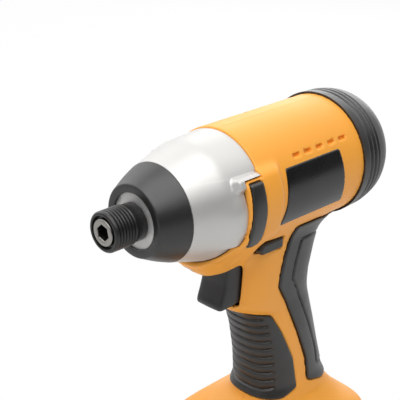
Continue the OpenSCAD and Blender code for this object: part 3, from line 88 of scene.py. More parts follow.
# Pads: a rounded block, cut slantwise at its lower front
PAD = [(55.9, -14.3), (56.4, -16), (59, -16.9), (62.8, -16.3), (64.3, -13.5), (64.7, 0), (64.4, 13.2), (56.8, 13.2),
       (56.3, 3), (56, -7)]
HOUSING_SCREWS = [(114.13, -27.0), (95.49, -70.03), (108.95, -103.97), (145.15, -136.03), (95.1, 24.4),
                  (130.59, 24.4)]
# Places along the axis: the wings' lip, front of the barrel, front of the rear bumper, end of the barrel
LIP_X, BARREL_X, TAIL_X, BARREL_END = 55.15, 66.05, 135.25, 151
# Radii of the barrel, of the rear bumper's seat on it and of the wings
BARREL_R, SEAT_R, WING_R = 29.3, 27.2, 32.2
# Heights of the foot's underside, the work lamp and the trigger's stem
FOOT_Z, LAMP_Z, STEM_Z = -144.4, -33.4, -46
# Pack: front, rear, half width, round of its upright edges and wall
PACK_FRONT, PACK_REAR, PACK_HALF, PACK_ROUND, PACK_WALL = 48, 153, 36, 6, 2.2
# Heights of the pack: its top, the lower edge of its upper shell, the upper edge of its base, its underside
PACK_LID, TOP_SPLIT, BASE_SPLIT, PACK_FLOOR = -144.8, -162.75, -162.98, -178.3
SIDES = (-1, "left"), (1, "right")


class DriverSizes(bpy.types.PropertyGroup):
    """Sizes of the moulded detail"""
    net: FloatProperty(name="Mesh step", description="Step of the grids that shells are meshed on",
                       default=0.0007, unit="LENGTH")
    seam: FloatProperty(name="Seam", description="Gap between moulded pieces", default=0.00025, unit="LENGTH")
    fillet: FloatProperty(name="Handle fillet", description="Blend between barrel and handle",
                          default=0.006, unit="LENGTH")
    rubber: FloatProperty(name="Rubber", description="How far rubber stands proud of the housing",
                          default=0.0009, unit="LENGTH")
    groove: FloatProperty(name="Panel groove", description="Inset of the groove in the side grips",
                          default=0.0085, unit="LENGTH")
    rib_pitch: FloatProperty(name="Finger rib pitch", description="Distance between ribs of the front grip",
                             default=0.0046, unit="LENGTH")
    vents: IntProperty(name="Vents", description="Cooling slots along each side", default=5, min=1, max=6)


class DriverFinish(bpy.types.PropertyGroup):
    """Colours of the finishes"""
    orange: FloatVectorProperty(name="Housing", description="Housing plastic", subtype="COLOR", size=4,
                                default=(0.94, 0.39, 0.043, 1))
    rubber: FloatVectorProperty(name="Rubber", description="Overmoulded rubber", subtype="COLOR", size=4,
                                default=(0.010, 0.010, 0.0095, 1))
    black: FloatVectorProperty(name="Black plastic", description="Pack and controls", subtype="COLOR", size=4,
                               default=(0.013, 0.013, 0.013, 1))
    silver: FloatVectorProperty(name="Case", description="Painted hammer case", subtype="COLOR", size=4,
                                default=(0.58, 0.575, 0.56, 1))
    steel: FloatVectorProperty(name="Steel", description="Machined steel", subtype="COLOR", size=4,
                               default=(0.30, 0.29, 0.27, 1))
    oxide: FloatVectorProperty(name="Black oxide", description="Blackened steel", subtype="COLOR", size=4,
                               default=(0.028, 0.0275, 0.027, 1))
    label: FloatVectorProperty(name="Label", description="Gloss name plate, left bare", subtype="COLOR", size=4,
                               default=(0.004, 0.004, 0.0045, 1))


# Shapes

def blend_min(a, b, k):
    """Union of two distance fields: the lesser one, lowered by (k - gap)^2 / 4k where they are within k."""
    h = np.clip(k - np.abs(a - b), 0, None)
    return np.minimum(a, b) - h * h / (4 * k)


def blend_max(a, b, k):
    """Overlap of two distance fields with an edge rounded over k."""
    return -blend_min(-a, -b, k)


def ease(t):
    """Smooth step from 0 to 1: 3t^2 - 2t^3."""
    t = np.clip(t, 0, 1)
    return t * t * (3 - 2 * t)


def spaced(*spans):
    """Grid places from spans of start, end and step, each place once."""
    parts = [np.arange(round((b - a) / s)) / round((b - a) / s) * (b - a) + a for a, b, s in spans]
    return np.concatenate(parts + [np.array([spans[-1][1]], float)])


def block(step, *spans):
    """Grid places of one step, over a span of each axis."""
    return [spaced((a, b, step)) for a, b in spans]


def eased(points, step, rounds=2):
    """Closed outline with its edges split to a step, then each corner cut at a quarter of its edges, in rounds."""
    p = np.asarray(points, float)
    to = np.roll(p, -1, 0)
    n = np.maximum(np.ceil(np.linalg.norm(to - p, axis=1) / step), 1).astype(int)
    which = np.repeat(np.arange(len(p)), n)
    share = (np.arange(n.sum()) - np.repeat(np.cumsum(n) - n, n)) / n[which]
    p = p[which] + share[:, None] * (to - p)[which]
    for _ in range(rounds):
        to = np.roll(p, -1, 0)
        p = np.stack([0.75 * p + 0.25 * to, 0.25 * p + 0.75 * to], 1).reshape(-1, 2)
    turn = p - np.roll(p, 1, 0), np.roll(p, -1, 0) - p
    bent = np.abs(turn[0][:, 0] * turn[1][:, 1] - turn[0][:, 1] * turn[1][:, 0])
    return p[bent > 1e-9]


def outline_distance(points, u, v):
    """Distance from a closed outline, negative inside: the least distance to an edge, with the sign from the
    count of edges that a ray from the point crosses."""
    a = np.asarray(points, float)
    b = np.roll(a, -1, 0)
    e = b - a
    u, v = np.broadcast_arrays(u, v)
    pu, pv = u[..., None] - a[:, 0], v[..., None] - a[:, 1]
    t = np.clip((pu * e[:, 0] + pv * e[:, 1]) / (e * e).sum(1), 0, 1)
    near = np.sqrt(((pu - t * e[:, 0]) ** 2 + (pv - t * e[:, 1]) ** 2).min(-1))
    over = (a[:, 1] > v[..., None]) != (b[:, 1] > v[..., None])
    cross = pu * e[:, 1] < pv * e[:, 0]
    flip = over & (cross == (e[:, 1] > 0))
    return np.where(flip.sum(-1) % 2 == 1, -near, near)


class Plan:
    """Distance from a closed outline, worked out once on a fine grid and read between its places."""

    def __init__(self, points, step=0.25, margin=5.0):
        points = np.asarray(points)
        self.low, self.step = points.min(0) - margin, step
        self.last = np.ceil((points.max(0) + margin - self.low) / step).astype(int)
        u, v = [self.low[c] + step * np.arange(self.last[c] + 1) for c in (0, 1)]
        self.table = outline_distance(points, u[:, None], v[None, :])

    def __call__(self, x, z):
        x, z = np.broadcast_arrays(x, z)
        u, v = (x - self.low[0]) / self.step, (z - self.low[1]) / self.step
        cu, cv = np.clip(u, 0, self.last[0] - 1e-6), np.clip(v, 0, self.last[1] - 1e-6)
        i, j = cu.astype(int), cv.astype(int)
        a, b, t = cu - i, cv - j, self.table
        near = (t[i, j] * (1 - a) + t[i + 1, j] * a) * (1 - b) + (t[i, j + 1] * (1 - a) + t[i + 1, j + 1] * a) * b
        return near + self.step * np.hypot(u - cu, v - cv)


def box_distance(x, y, z, low, high, r):
    """Distance from a box with edges rounded to r."""
    low, high = np.asarray(low, float), np.asarray(high, float)
    mid, half = (low + high) / 2, (high - low) / 2 - r
    qx, qy, qz = np.abs(x - mid[0]) - half[0], np.abs(y - mid[1]) - half[1], np.abs(z - mid[2]) - half[2]
    out = np.sqrt(np.maximum(qx, 0) ** 2 + np.maximum(qy, 0) ** 2 + np.maximum(qz, 0) ** 2)
    return out + np.minimum(np.maximum(np.maximum(qx, qy), qz), 0) - r


CORNERS = np.array([(i, j, k) for i in (0, 1) for j in (0, 1) for k in (0, 1)])
EDGES = np.array([(0, 1), (0, 2), (0, 4), (1, 3), (1, 5), (2, 3), (2, 6), (3, 7), (4, 5), (4, 6), (5, 7), (6, 7)])


def netted(field, xs, ys, zs, settle=3):
    """Closed skin on which a distance field is zero. Each grid cell that the skin crosses gives one point, the
    mean of the crossings on its edges, and each crossed grid edge a face between its four cells. The points are
    evened out with their neighbours once, then stepped down the field's slope onto the skin."""
    shape = len(xs), len(ys), len(zs)
    value = np.array(np.broadcast_to(field(xs[:, None, None], ys[None, :, None], zs[None, None, :]), shape))
    inside = value < 0
    n = [s - 1 for s in shape]
    filled = np.zeros(n, np.int8)
    for i, j, k in CORNERS:
        filled += inside[i:i + n[0], j:j + n[1], k:k + n[2]]
    crossed = (filled > 0) & (filled < 8)
    cell = np.argwhere(crossed)
    number = np.full(n, -1, np.int32)
    number[crossed] = np.arange(len(cell))
    at = cell[:, None, :] + CORNERS[None]
    level = value[at[..., 0], at[..., 1], at[..., 2]]
    place = np.stack([xs[at[..., 0]], ys[at[..., 1]], zs[at[..., 2]]], -1)
    a, b = level[:, EDGES[:, 0]], level[:, EDGES[:, 1]]
    cut = (a < 0) != (b < 0)
    t = np.where(cut, a / np.where(cut, a - b, 1), 0)[..., None]
    hit = place[:, EDGES[:, 0]] * (1 - t) + place[:, EDGES[:, 1]] * t
    point = (hit * cut[..., None]).sum(1) / cut.sum(1)[:, None]
    quads = []
    for axis in range(3):
        turn = [axis, (axis + 1) % 3, (axis + 2) % 3]
        s, m = inside.transpose(turn), number.transpose(turn)
        i, j, k = np.argwhere(s[:-1, 1:-1, 1:-1] != s[1:, 1:-1, 1:-1]).T
        quad = np.stack([m[i, j, k], m[i, j + 1, k], m[i, j + 1, k + 1], m[i, j, k + 1]], 1)
        quads.append(np.where(s[i, j + 1, k + 1][:, None], quad, quad[:, ::-1]))
    quads = np.concatenate(quads)
    reach = min(np.diff(xs).min(), np.diff(ys).min(), np.diff(zs).min()) / 2
    point = settled(field, point, reach, 1)
    start, end = quads.ravel(), np.roll(quads, -1, 1).ravel()
    count = np.bincount(start, minlength=len(point)) + 1e-9
    mean = np.stack([np.bincount(start, point[end, c], len(point)) for c in range(3)], 1) / count[:, None]
    return settled(field, (point + mean) / 2, reach, settle), quads


def settled(field, point, reach, steps):
    """Moves points by value over slope, along the slope, and at most by a reach each step."""
    tip = 0.03
    for _ in range(steps):
        x, y, z = point.T
        d = field(x, y, z)
        slope = np.stack([field(x + tip, y, z) - d, field(x, y + tip, z) - d, field(x, y, z + tip) - d], 1) / tip
        step = d[:, None] * slope / np.maximum((slope * slope).sum(1), 0.3)[:, None]
        point = point - np.clip(step, -reach, reach)
    return point


def woven(rows, columns, closed):
    """Faces of a grid of points whose columns meet, and whose last row meets the first where it is closed."""
    i, j = np.meshgrid(np.arange(rows if closed else rows - 1), np.arange(columns), indexing="ij")
    i2, j2 = (i + 1) % rows, (j + 1) % columns
    return np.stack([i * columns + j, i2 * columns + j, i2 * columns + j2, i * columns + j2], -1).reshape(-1, 4)


def turned(profile, steps, radius=None):
    """Closed profile of place and radius carried round the tool axis: (x, r cos t, r sin t). A radius function of
    x, r and t may raise it."""
    p = np.asarray(profile, float)
    t = np.arange(steps) / steps * 2 * np.pi if np.isscalar(steps) else np.asarray(steps)
    x, r = np.broadcast_arrays(p[:, :1], np.ones((1, len(t))))[0], p[:, 1:] * np.ones((1, len(t)))
    if radius is not None:
        r = radius(x, r, t[None, :])
    point = np.stack([x, r * np.cos(t), r * np.sin(t)], -1).reshape(-1, 3)
    quads = woven(len(p), len(t), True)
    area = (p[:, 0] * np.roll(p[:, 1], -1) - np.roll(p[:, 0], -1) * p[:, 1]).sum()
    return point, quads if area > 0 else quads[:, ::-1]


def coil(low, high, axis, wire, turns):
    """Spring between the corners of its box. The wire follows a helix: its ring is turned about the spring's own axis
    as its place moves along that axis."""
    ring, steps = 8, 28
    across = [c for c in range(3) if c != axis]
    a = np.linspace(0, 2 * np.pi * turns, steps * turns + 1)[:, None]
    b = np.arange(ring) / ring * 2 * np.pi
    r = (high[across[1]] - low[across[1]]) / 2 - wire / 2 + wire / 2 * np.cos(b)
    point = np.empty((len(a), len(b), 3))
    reach = high[axis] - low[axis] - wire
    point[..., axis] = low[axis] + wire / 2 + reach * a / a[-1] + wire / 2 * np.sin(b)
    for c, wave in zip(across, (np.cos(a), np.sin(a))):
        point[..., c] = (low[c] + high[c]) / 2 + r * wave
    last = ring * (len(a) - 1)
    ends = [(0, 1, 2, 3), (0, 3, 4, 5), (0, 5, 6, 7)]
    caps = ends + [[last + k for k in reversed(cap)] for cap in ends]
    return point.reshape(-1, 3), np.concatenate([woven(len(a), ring, False), caps])


def arc(x, r, size, first, last, steps):
    """Points of an arc about (x, r), between two angles in degrees."""
    a = np.radians(np.linspace(first, last, steps))
    return np.stack([x + size * np.cos(a), r + size * np.sin(a)], 1)


def mirrored(point, quads):
    """The shape and its twin across the middle plane."""
    twin = point * np.array([1, -1, 1])
    return np.concatenate([point, twin]), np.concatenate([quads, quads[:, ::-1] + len(point)])


def worn_edges(mesh):
    """How far each point stands out from the mean of its neighbours along its normal, per edge length, evened
    out with the neighbours: 0 on flats and hollows, towards 1 on sharp ridges."""
    n = len(mesh.vertices)
    co, normal = np.empty(n * 3), np.empty(n * 3, np.float32)
    mesh.vertices.foreach_get("co", co)
    mesh.vertices.foreach_get("normal", normal)
    co, normal = co.reshape(-1, 3), normal.reshape(-1, 3)
    edge = np.empty(len(mesh.edges) * 2, np.int32)
    mesh.edges.foreach_get("vertices", edge)
    a = np.concatenate([edge[0::2], edge[1::2]])
    b = np.concatenate([edge[1::2], edge[0::2]])
    count = np.bincount(a, minlength=n) + 1e-9
    length = np.bincount(a, np.linalg.norm(co[b] - co[a], axis=1), n) / count
    mean = np.stack([np.bincount(a, co[b, c], n) for c in range(3)], 1) / count[:, None]
    out = ((co - mean) * normal).sum(1) / np.maximum(length, 1e-7)
    for _ in range(2):
        out = (out + np.bincount(a, out[b], n) / count) / 2
    return np.clip(out * 3.2 - 0.12, 0, 1).astype(np.float32)


def add_piece(name, shape, body, slot, stands_for=(), crease=38, surface=None):
    """Makes a piece of a shape in mm from the nose, closed and facing outwards, that rides on a body. Its finish is
    that of its slot, unless another is named."""
    point, quads = shape
    mesh = bpy.data.meshes.new(name)
    mesh.vertices.add(len(point))
    mesh.vertices.foreach_set("co", (point / 1000 + NOSE).astype(np.float32).ravel())
    mesh.loops.add(quads.size)
    mesh.loops.foreach_set("vertex_index", quads.ravel().astype(np.int32))
    mesh.polygons.add(len(quads))
    mesh.polygons.foreach_set("loop_start", np.arange(0, quads.size, 4, dtype=np.int32))
    mesh.update(calc_edges=True)
    if mesh.validate():
        raise RuntimeError(f"{name}: the mesh has broken faces")
    mesh.shade_smooth()
    mesh.set_sharp_from_angle(angle=math.radians(crease))
    mesh.attributes.new("edge", "FLOAT", "POINT").data.foreach_set("value", worn_edges(mesh))
    mesh.materials.append(look(surface or slot))
    piece = bpy.data.objects.new(name, mesh)
    bpy.context.scene.collection.objects.link(piece)
    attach(piece, body)
    if stands_for:
        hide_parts(*stands_for)
    return piece


# Forms shared by more than one piece

def softened(places, at, values, reach=12, width=3.0):
    """Broken line through values, read at even places and evened out by a bell over so many places each way."""
    bell = np.exp(-np.linspace(-width, width, 2 * reach + 1) ** 2 / 2)
    return np.convolve(np.pad(np.interp(places, at, values), reach, "edge"), bell / bell.sum(), "valid")


def ridges(wave, sharp):
    """Bell about each whole number, 1 on it: e to the minus square of the distance times a sharpness."""
    return np.exp(-((wave - np.round(wave)) * sharp) ** 2)


SECTION_DROP = np.linspace(0, 150, 601)
SECTIONS = [softened(SECTION_DROP, HANDLE[:, 0], HANDLE[:, c]) for c in (1, 2, 3, 4)]
CHIN_PLAN, SIDE_PLAN, FRONT_PLAN = Plan(eased(CHIN, 3)), Plan(eased(SIDE_GRIP, 4)), Plan(eased(FRONT_GRIP, 4))
SELECTOR_PLAN, PAD_PLAN = Plan(eased(SELECTOR, 1.5, 1), 0.1, 2.0), Plan(eased(PAD, 1.4), 0.1, 2.0)
FINGER_DROP = np.linspace(28, 64, 145)
FINGER = softened(FINGER_DROP, [-z for x, z in TRIGGER[:6]], [x for x, z in TRIGGER[:6]])
BOW_X = np.linspace(36, 76, 201)
BOW_R = softened(BOW_X, [43, 49.5, 55, 62], [5.6, 11.4, 15.3, 16.6])
# The case is a straight cone at its front, where the bumper ends, and a soft bell behind
CASE_X = np.linspace(24, 72, 481)
CASE_R = np.where(CASE_X < 36, np.interp(CASE_X, [30.2, 47.5], [22.45, 27.6]),
                  softened(CASE_X, [30.2, 47.5, 65.9], [22.45, 27.6, 28.65], 45))


def handle_field(x, y, z):
    """Distance from the handle and foot: each level is a rounded outline |u|^p + |v|^p = 1 between the front, rear
    and sides of its section, and the distance is that outline's excess over its slope."""
    front, rear, half, power = [np.interp(-z, SECTION_DROP, s) for s in SECTIONS]
    deep = (rear - front) / 2
    u, v = np.abs(x - (front + rear) / 2) / deep, np.abs(y) / half
    up, vp = u ** (power - 1), v ** (power - 1)
    total = np.maximum(u * up + v * vp, 1e-9)
    size = total ** (1 / power)
    slope = size / total * np.sqrt((up / deep) ** 2 + (vp / half) ** 2)
    return (size - 1) / np.maximum(slope, 0.6 / np.maximum(deep, half))


def case_skin(x, sine):
    """Radius of the hammer case: a bell along the axis, flanks that swell towards the wings between a level top and
    bottom, and along the top of each flank a tab with a round front, which runs on over the wing's lip. The sides
    are told by the sine of the angle about the axis."""
    bell = np.interp(x, CASE_X, CASE_R)
    crest = 31.5
    level = blend_min(crest, 15.9 / np.maximum(sine, 0.2), 2.2)
    level = blend_min(level, 15.6 / np.maximum(-sine, 0.2), 6.0)
    high = ease(sine / 0.42)
    swell = ease((x - 41 - 5 * high) / (13.5 - 5 * high)) * (1 - ease((sine - 0.36) / 0.16))
    flank = bell - 0.3 + (2.4 - 1.3 * high) * swell
    off = np.hypot(np.maximum(52.8 - x, 0), np.maximum(np.abs(31 * sine - 14.1) - 1.1, 0))
    tab = flank + (crest + 0.1 - flank) * (1 - ease((off - 0.3) / 2.7))
    ledge = np.where(x < 65.0, crest - 8 * (1 - ease((sine - 0.455) / 0.03)), 0)
    return blend_max(bell, np.minimum(level, np.where(x < LIP_X - 0.13, tab, ledge)), 0.6)


def keel(x, y, z):
    """Distance from the rounded wedge round two circles, the barrel's skin about the axis and the chin's keel below,
    which narrows to the bow: each circle where a point faces it, else the straight flank that touches both."""
    big, drop = 29.95, 23.0
    small = np.interp(x, BOW_X, BOW_R)
    lean = np.minimum((big - small) / drop, 0.99)
    rise = np.sqrt(1 - lean * lean)
    along = -rise * z - lean * np.abs(y)
    upper, lower = np.sqrt(y * y + z * z) - big, np.sqrt(y * y + (z + drop) ** 2) - small
    flank = rise * np.abs(y) - lean * z - big
    return np.minimum(upper, np.where(along < 0, upper, np.where(along > rise * drop, lower, flank)))


def barrel_and_handle(x, y, z, fillet):
    """Distance from the outside of the housing before any opening is cut."""
    r = np.sqrt(y * y + z * z)
    barrel = blend_max(r - np.where(x < TAIL_X, BARREL_R, SEAT_R), BARREL_X - x, 1.0)
    barrel = np.maximum(barrel, x - BARREL_END)
    wing_top, wing_low, wing_end = np.where(x < 65.1, 14.4, 16.3), -17.8, 77.4
    wing = blend_max(blend_max(r - WING_R, LIP_X - x, 1.2), x - wing_end, 3.6)
    wing = blend_max(blend_max(wing, z - wing_top, 2.8), wing_low - z, 6.0)
    wing = np.maximum(wing, 28.95 - r)
    handle = np.maximum(handle_field(x, y, z), z + 6)
    handle = blend_max(handle, FOOT_Z - z, 1.6)
    chin = blend_max(keel(x, y, z), CHIN_PLAN(x, z), 3.0)
    return blend_min(blend_min(blend_min(barrel, wing, 3.0), handle, fillet), chin, 6)


def housing_field(side, sizes):
    """Distance from one half of the housing: the outside, less the bore, the handle's hollow, the case, the openings
    and the pack's channel."""
    fillet, seam = sizes.fillet * 1000, sizes.seam * 1000
    vents_x = 89.8 + 8 * np.arange(sizes.vents)
    bore, wall = 26.7, 2.8
    boss_r, head_r, shank_r = 4.3, 2.95, 1.55

    def field(x, y, z):
        q = np.abs(y)
        r = np.sqrt(y * y + z * z)
        solid = barrel_and_handle(x, y, z, fillet)
        grips = np.minimum(SIDE_PLAN(x, z), FRONT_PLAN(x, z))
        solid = blend_max(solid, -np.maximum(grips - 0.2, -solid - 1.0), 0.3)
        hollow = np.maximum(r - bore, x - 149.5)
        hollow = np.minimum(hollow, np.maximum(np.maximum(handle_field(x, y, z) + wall, -119 - z), z))
        boss = np.full(np.broadcast(x, z).shape, 1e3)
        for sx, sz in HOUSING_SCREWS:
            boss = np.minimum(boss, np.sqrt((x - sx) ** 2 + (z - sz) ** 2))
        hollow = np.maximum(hollow, boss_r - boss)
        solid = np.maximum(solid, -np.maximum(hollow, 64 - x))
        case = np.maximum(r - case_skin(x, z / np.maximum(r, 1)) - seam, x - 66.06)
        slot = box_distance(x, y, z, (61.6, -10.05, -57.6), (89, 10.05, -34.2), 2.0)
        button = np.maximum(SELECTOR_PLAN(x, z) - 0.4, 12 - q)
        pad = np.maximum(PAD_PLAN(x, z) - seam, 30.3 - r)
        vents = [(box_distance(x, q, z, (at, 22.4, 15.5), (at + 4.6, 40, 17.3), 0.4), 0.4) for at in vents_x]
        lamp = np.maximum(np.sqrt(y * y + (z - LAMP_Z) ** 2) - 2.0, x - 54)
        for opening, edge in ((case, 0.5), (slot, 1.3), (button, 0.7), (pad, 0.5), *vents, (lamp, 0.2)):
            solid = blend_max(solid, -opening, edge)
        channel = np.minimum(box_distance(x, y, z, (40, -28.5, -137), (132, 28.5, -131.5), 0.3),
                             box_distance(x, y, z, (40, -24.5, -150), (132, 24.5, -131.5), 0.3))
        pocket = box_distance(x, y, z, (120, -20.25, -150), (140.85, 20.25, -128.95), 0.5)
        solid = np.maximum(solid, -np.minimum(channel, pocket))
        if side > 0:
            solid = blend_max(solid, -np.maximum(boss - head_r, 8.6 - y), 0.5)
        solid = np.maximum(solid, -np.maximum(boss - shank_r, -12 - y))
        return blend_max(solid, -0.1 - side * y, 0.04)

    return field


def pack_walls(x, y, z, inset):
    """Distance from the upright walls of the pack, moved in by an inset."""
    low, high = (PACK_FRONT + inset, inset - PACK_HALF, -9), (PACK_REAR - inset, PACK_HALF - inset, 9)
    return box_distance(x, y, z * 0, low, high, PACK_ROUND - inset)


def pack_relief(x, y, z):
    """Upright grip ribs on the sides near the front, and a shallow bare panel behind them."""
    fins = ridges((x - 58) / 3.2, 4.2) * ease(x - 56) * ease(83 - x)
    panel = ease((x - 92) / 0.8) * ease((140 - x) / 0.8)
    tall = ease(-149.5 - z) * ease(z + 173.5)
    return (0.8 * fins + 0.5 * panel) * tall * (np.abs(y) > 30)


def pack_top(x, y, z):
    """Distance from the upper shell: the walls with two rails, less the room for the cells, the button's seat and the
    slots of the contacts."""
    plan = pack_walls(x, y, z, 0) + pack_relief(x, y, z)
    body = blend_max(blend_max(plan, z - PACK_LID, 2.2), TOP_SPLIT - z, 0.7)
    rail = np.minimum(box_distance(x, y, z, (58.6, -24.2, -150), (131.7, 24.2, -131.8), 0.5),
                      box_distance(x, y, z, (58.6, -28.2, -136.7), (131.7, 28.2, -131.8), 0.5))
    body = np.minimum(body, rail)
    room = np.maximum(pack_walls(x, y, z, PACK_WALL), z + 147)
    seat = box_distance(x, y, z, (40, -15.3, -159.8), (55, 15.3, -140), 0.5)
    body = np.maximum(body, -np.maximum(room, -seat))
    body = blend_max(body, -box_distance(x, y, z, (40, -13.9, -158.4), (53.6, 13.9, -140), 0.6), 0.5)
    for at in (-8, 8):
        body = np.maximum(body, -box_distance(x, y, z, (118.1, at - 1, -142), (140, at + 1, -125), 0.2))
    return body


def pack_base(x, y, z):
    """Distance from the lower shell: a tray with sunk screws at its front corners."""
    plan = pack_walls(x, y, z, 0) + pack_relief(x, y, z)
    body = blend_max(blend_max(plan, PACK_FLOOR - z, 3.0), z - BASE_SPLIT, 0.7)
    room = np.maximum(pack_walls(x, y, z, PACK_WALL), -176.1 - z)
    foot = np.sqrt((x - 51.85) ** 2 + (np.abs(y) - 27.5) ** 2)
    body = np.maximum(body, -np.maximum(room, 3.8 - foot))
    body = blend_max(body, -np.maximum(foot - 2.4, z + 172.9), 0.5)
    return np.maximum(body, -(foot - 1.4))


def release_field(x, y, z):
    """Distance from the release button, with grooves across its face."""
    ridge = 0.45 * ridges((z + 150) / 2.2, 4) * ease(11.5 - np.abs(y)) * (x < 50)
    ridge = ridge * ease((z + 154) / 0.8) * ease((-146 - z) / 0.8)
    return box_distance(x, y, z, (48.4, -13.5, -154.8), (53.2, 13.5, -145.2), 1.0) + ridge


# Finishes

def fill(tree, inputs, values):
    """Sets inputs by name or number: to a value, or by a link where the value is another node's output."""
    for key, value in values.items():
        if isinstance(value, bpy.types.NodeSocket):
            tree.links.new(value, inputs[key])
        else:
            inputs[key].default_value = value


def put(tree, kind, values=None, **settings):
    """Adds a node with the given settings and inputs."""
    node = tree.nodes.new(kind)
    for key, value in settings.items():
        setattr(node, key, value)
    fill(tree, node.inputs, values or {})
    return node


def maths(tree, operation, a, b, **settings):
    """Adds a node that makes one value of two."""
    return put(tree, "ShaderNodeMath", {0: a, 1: b}, operation=operation, **settings).outputs[0]


def noise(tree, place, scale, detail, roughness=0.5, **others):
    """Adds noise, from 0 to 1."""
    values = {"Vector": place, "Scale": scale, "Detail": detail, "Roughness": roughness, **others}
    return put(tree, "ShaderNodeTexNoise", values).outputs["Fac"]


def effect(name, inputs, outputs):
    """Starts a shader group with float inputs of name and default, float outputs, and the place on the piece."""
    tree = bpy.data.node_groups.new(name, "ShaderNodeTree")
    for label, value in inputs:
        tree.interface.new_socket(name=label, in_out="INPUT", socket_type="NodeSocketFloat").default_value = value
    for label in outputs:
        tree.interface.new_socket(name=label, in_out="OUTPUT", socket_type="NodeSocketFloat")
    given, made = tree.nodes.new("NodeGroupInput").outputs, tree.nodes.new("NodeGroupOutput").inputs
    return tree, given, made, put(tree, "ShaderNodeTexCoord").outputs["Object"]


def grain_effect():
    """Fine grain height and slow mottling. Along, above 1, packs the grain closer along the tool axis, as turning
    leaves it."""
    tree, given, made, place = effect("Grain", [("Fine", 900.0), ("Along", 1.0), ("Mottle", 30.0)], ["Height", "Tone"])
    split = put(tree, "ShaderNodeSeparateXYZ", {0: place}).outputs
    along = maths(tree, "MULTIPLY", split["X"], given["Along"])
    drawn = put(tree, "ShaderNodeCombineXYZ", {"X": along, "Y": split["Y"], "Z": split["Z"]}).outputs[0]
    fill(tree, made, {"Height": noise(tree, drawn, given["Fine"], 3.0, 0.6),
                      "Tone": noise(tree, place, given["Mottle"], 4.0, 0.55)})
    return tree


def rub_effect():
    """Mask of rubbed edges: the piece's own edge attribute, broken up by noise."""
    tree, given, made, place = effect("Rubbed edges", [("Break up", 260.0), ("Amount", 1.0)], ["Mask"])
    edge = put(tree, "ShaderNodeAttribute", attribute_name="edge").outputs["Fac"]
    rough = noise(tree, place, given["Break up"], 5.0, 0.7)
    spots = put(tree, "ShaderNodeMapRange", {"Value": rough, "From Min": 0.35, "From Max": 0.7}).outputs[0]
    worn = maths(tree, "MULTIPLY", edge, spots)
    fill(tree, made, {"Mask": maths(tree, "MULTIPLY", worn, given["Amount"], use_clamp=True)})
    return tree


def handling_effect():
    """Smears and fine scratches left by handling, as one mask for gloss."""
    tree, given, made, place = effect("Handling", [("Smear", 45.0), ("Scratch", 700.0)], ["Mask"])
    smear = noise(tree, place, given["Smear"], 6.0, 0.65, Distortion=0.6)
    lean = put(tree, "ShaderNodeMapping", {"Vector": place, "Rotation": (0.4, 0.7, 0.3), "Scale": (0.06, 1.0, 1.0)})
    line = noise(tree, lean.outputs[0], given["Scratch"], 2.0)
    thin = put(tree, "ShaderNodeMapRange", {"Value": line, "From Min": 0.62, "From Max": 0.75, "To Max": 0.35})
    fill(tree, made, {"Mask": maths(tree, "ADD", smear, thin.outputs[0], use_clamp=True)})
    return tree


def seen(tree):
    """1 for rays that the camera, a gloss or a clear piece sends, which see white paper and backdrop."""
    path = put(tree, "ShaderNodeLightPath").outputs
    first = maths(tree, "MAXIMUM", path["Is Camera Ray"], path["Is Glossy Ray"])
    return maths(tree, "MAXIMUM", first, path["Is Transmission Ray"])


EFFECTS = {}
FINISHES = {}
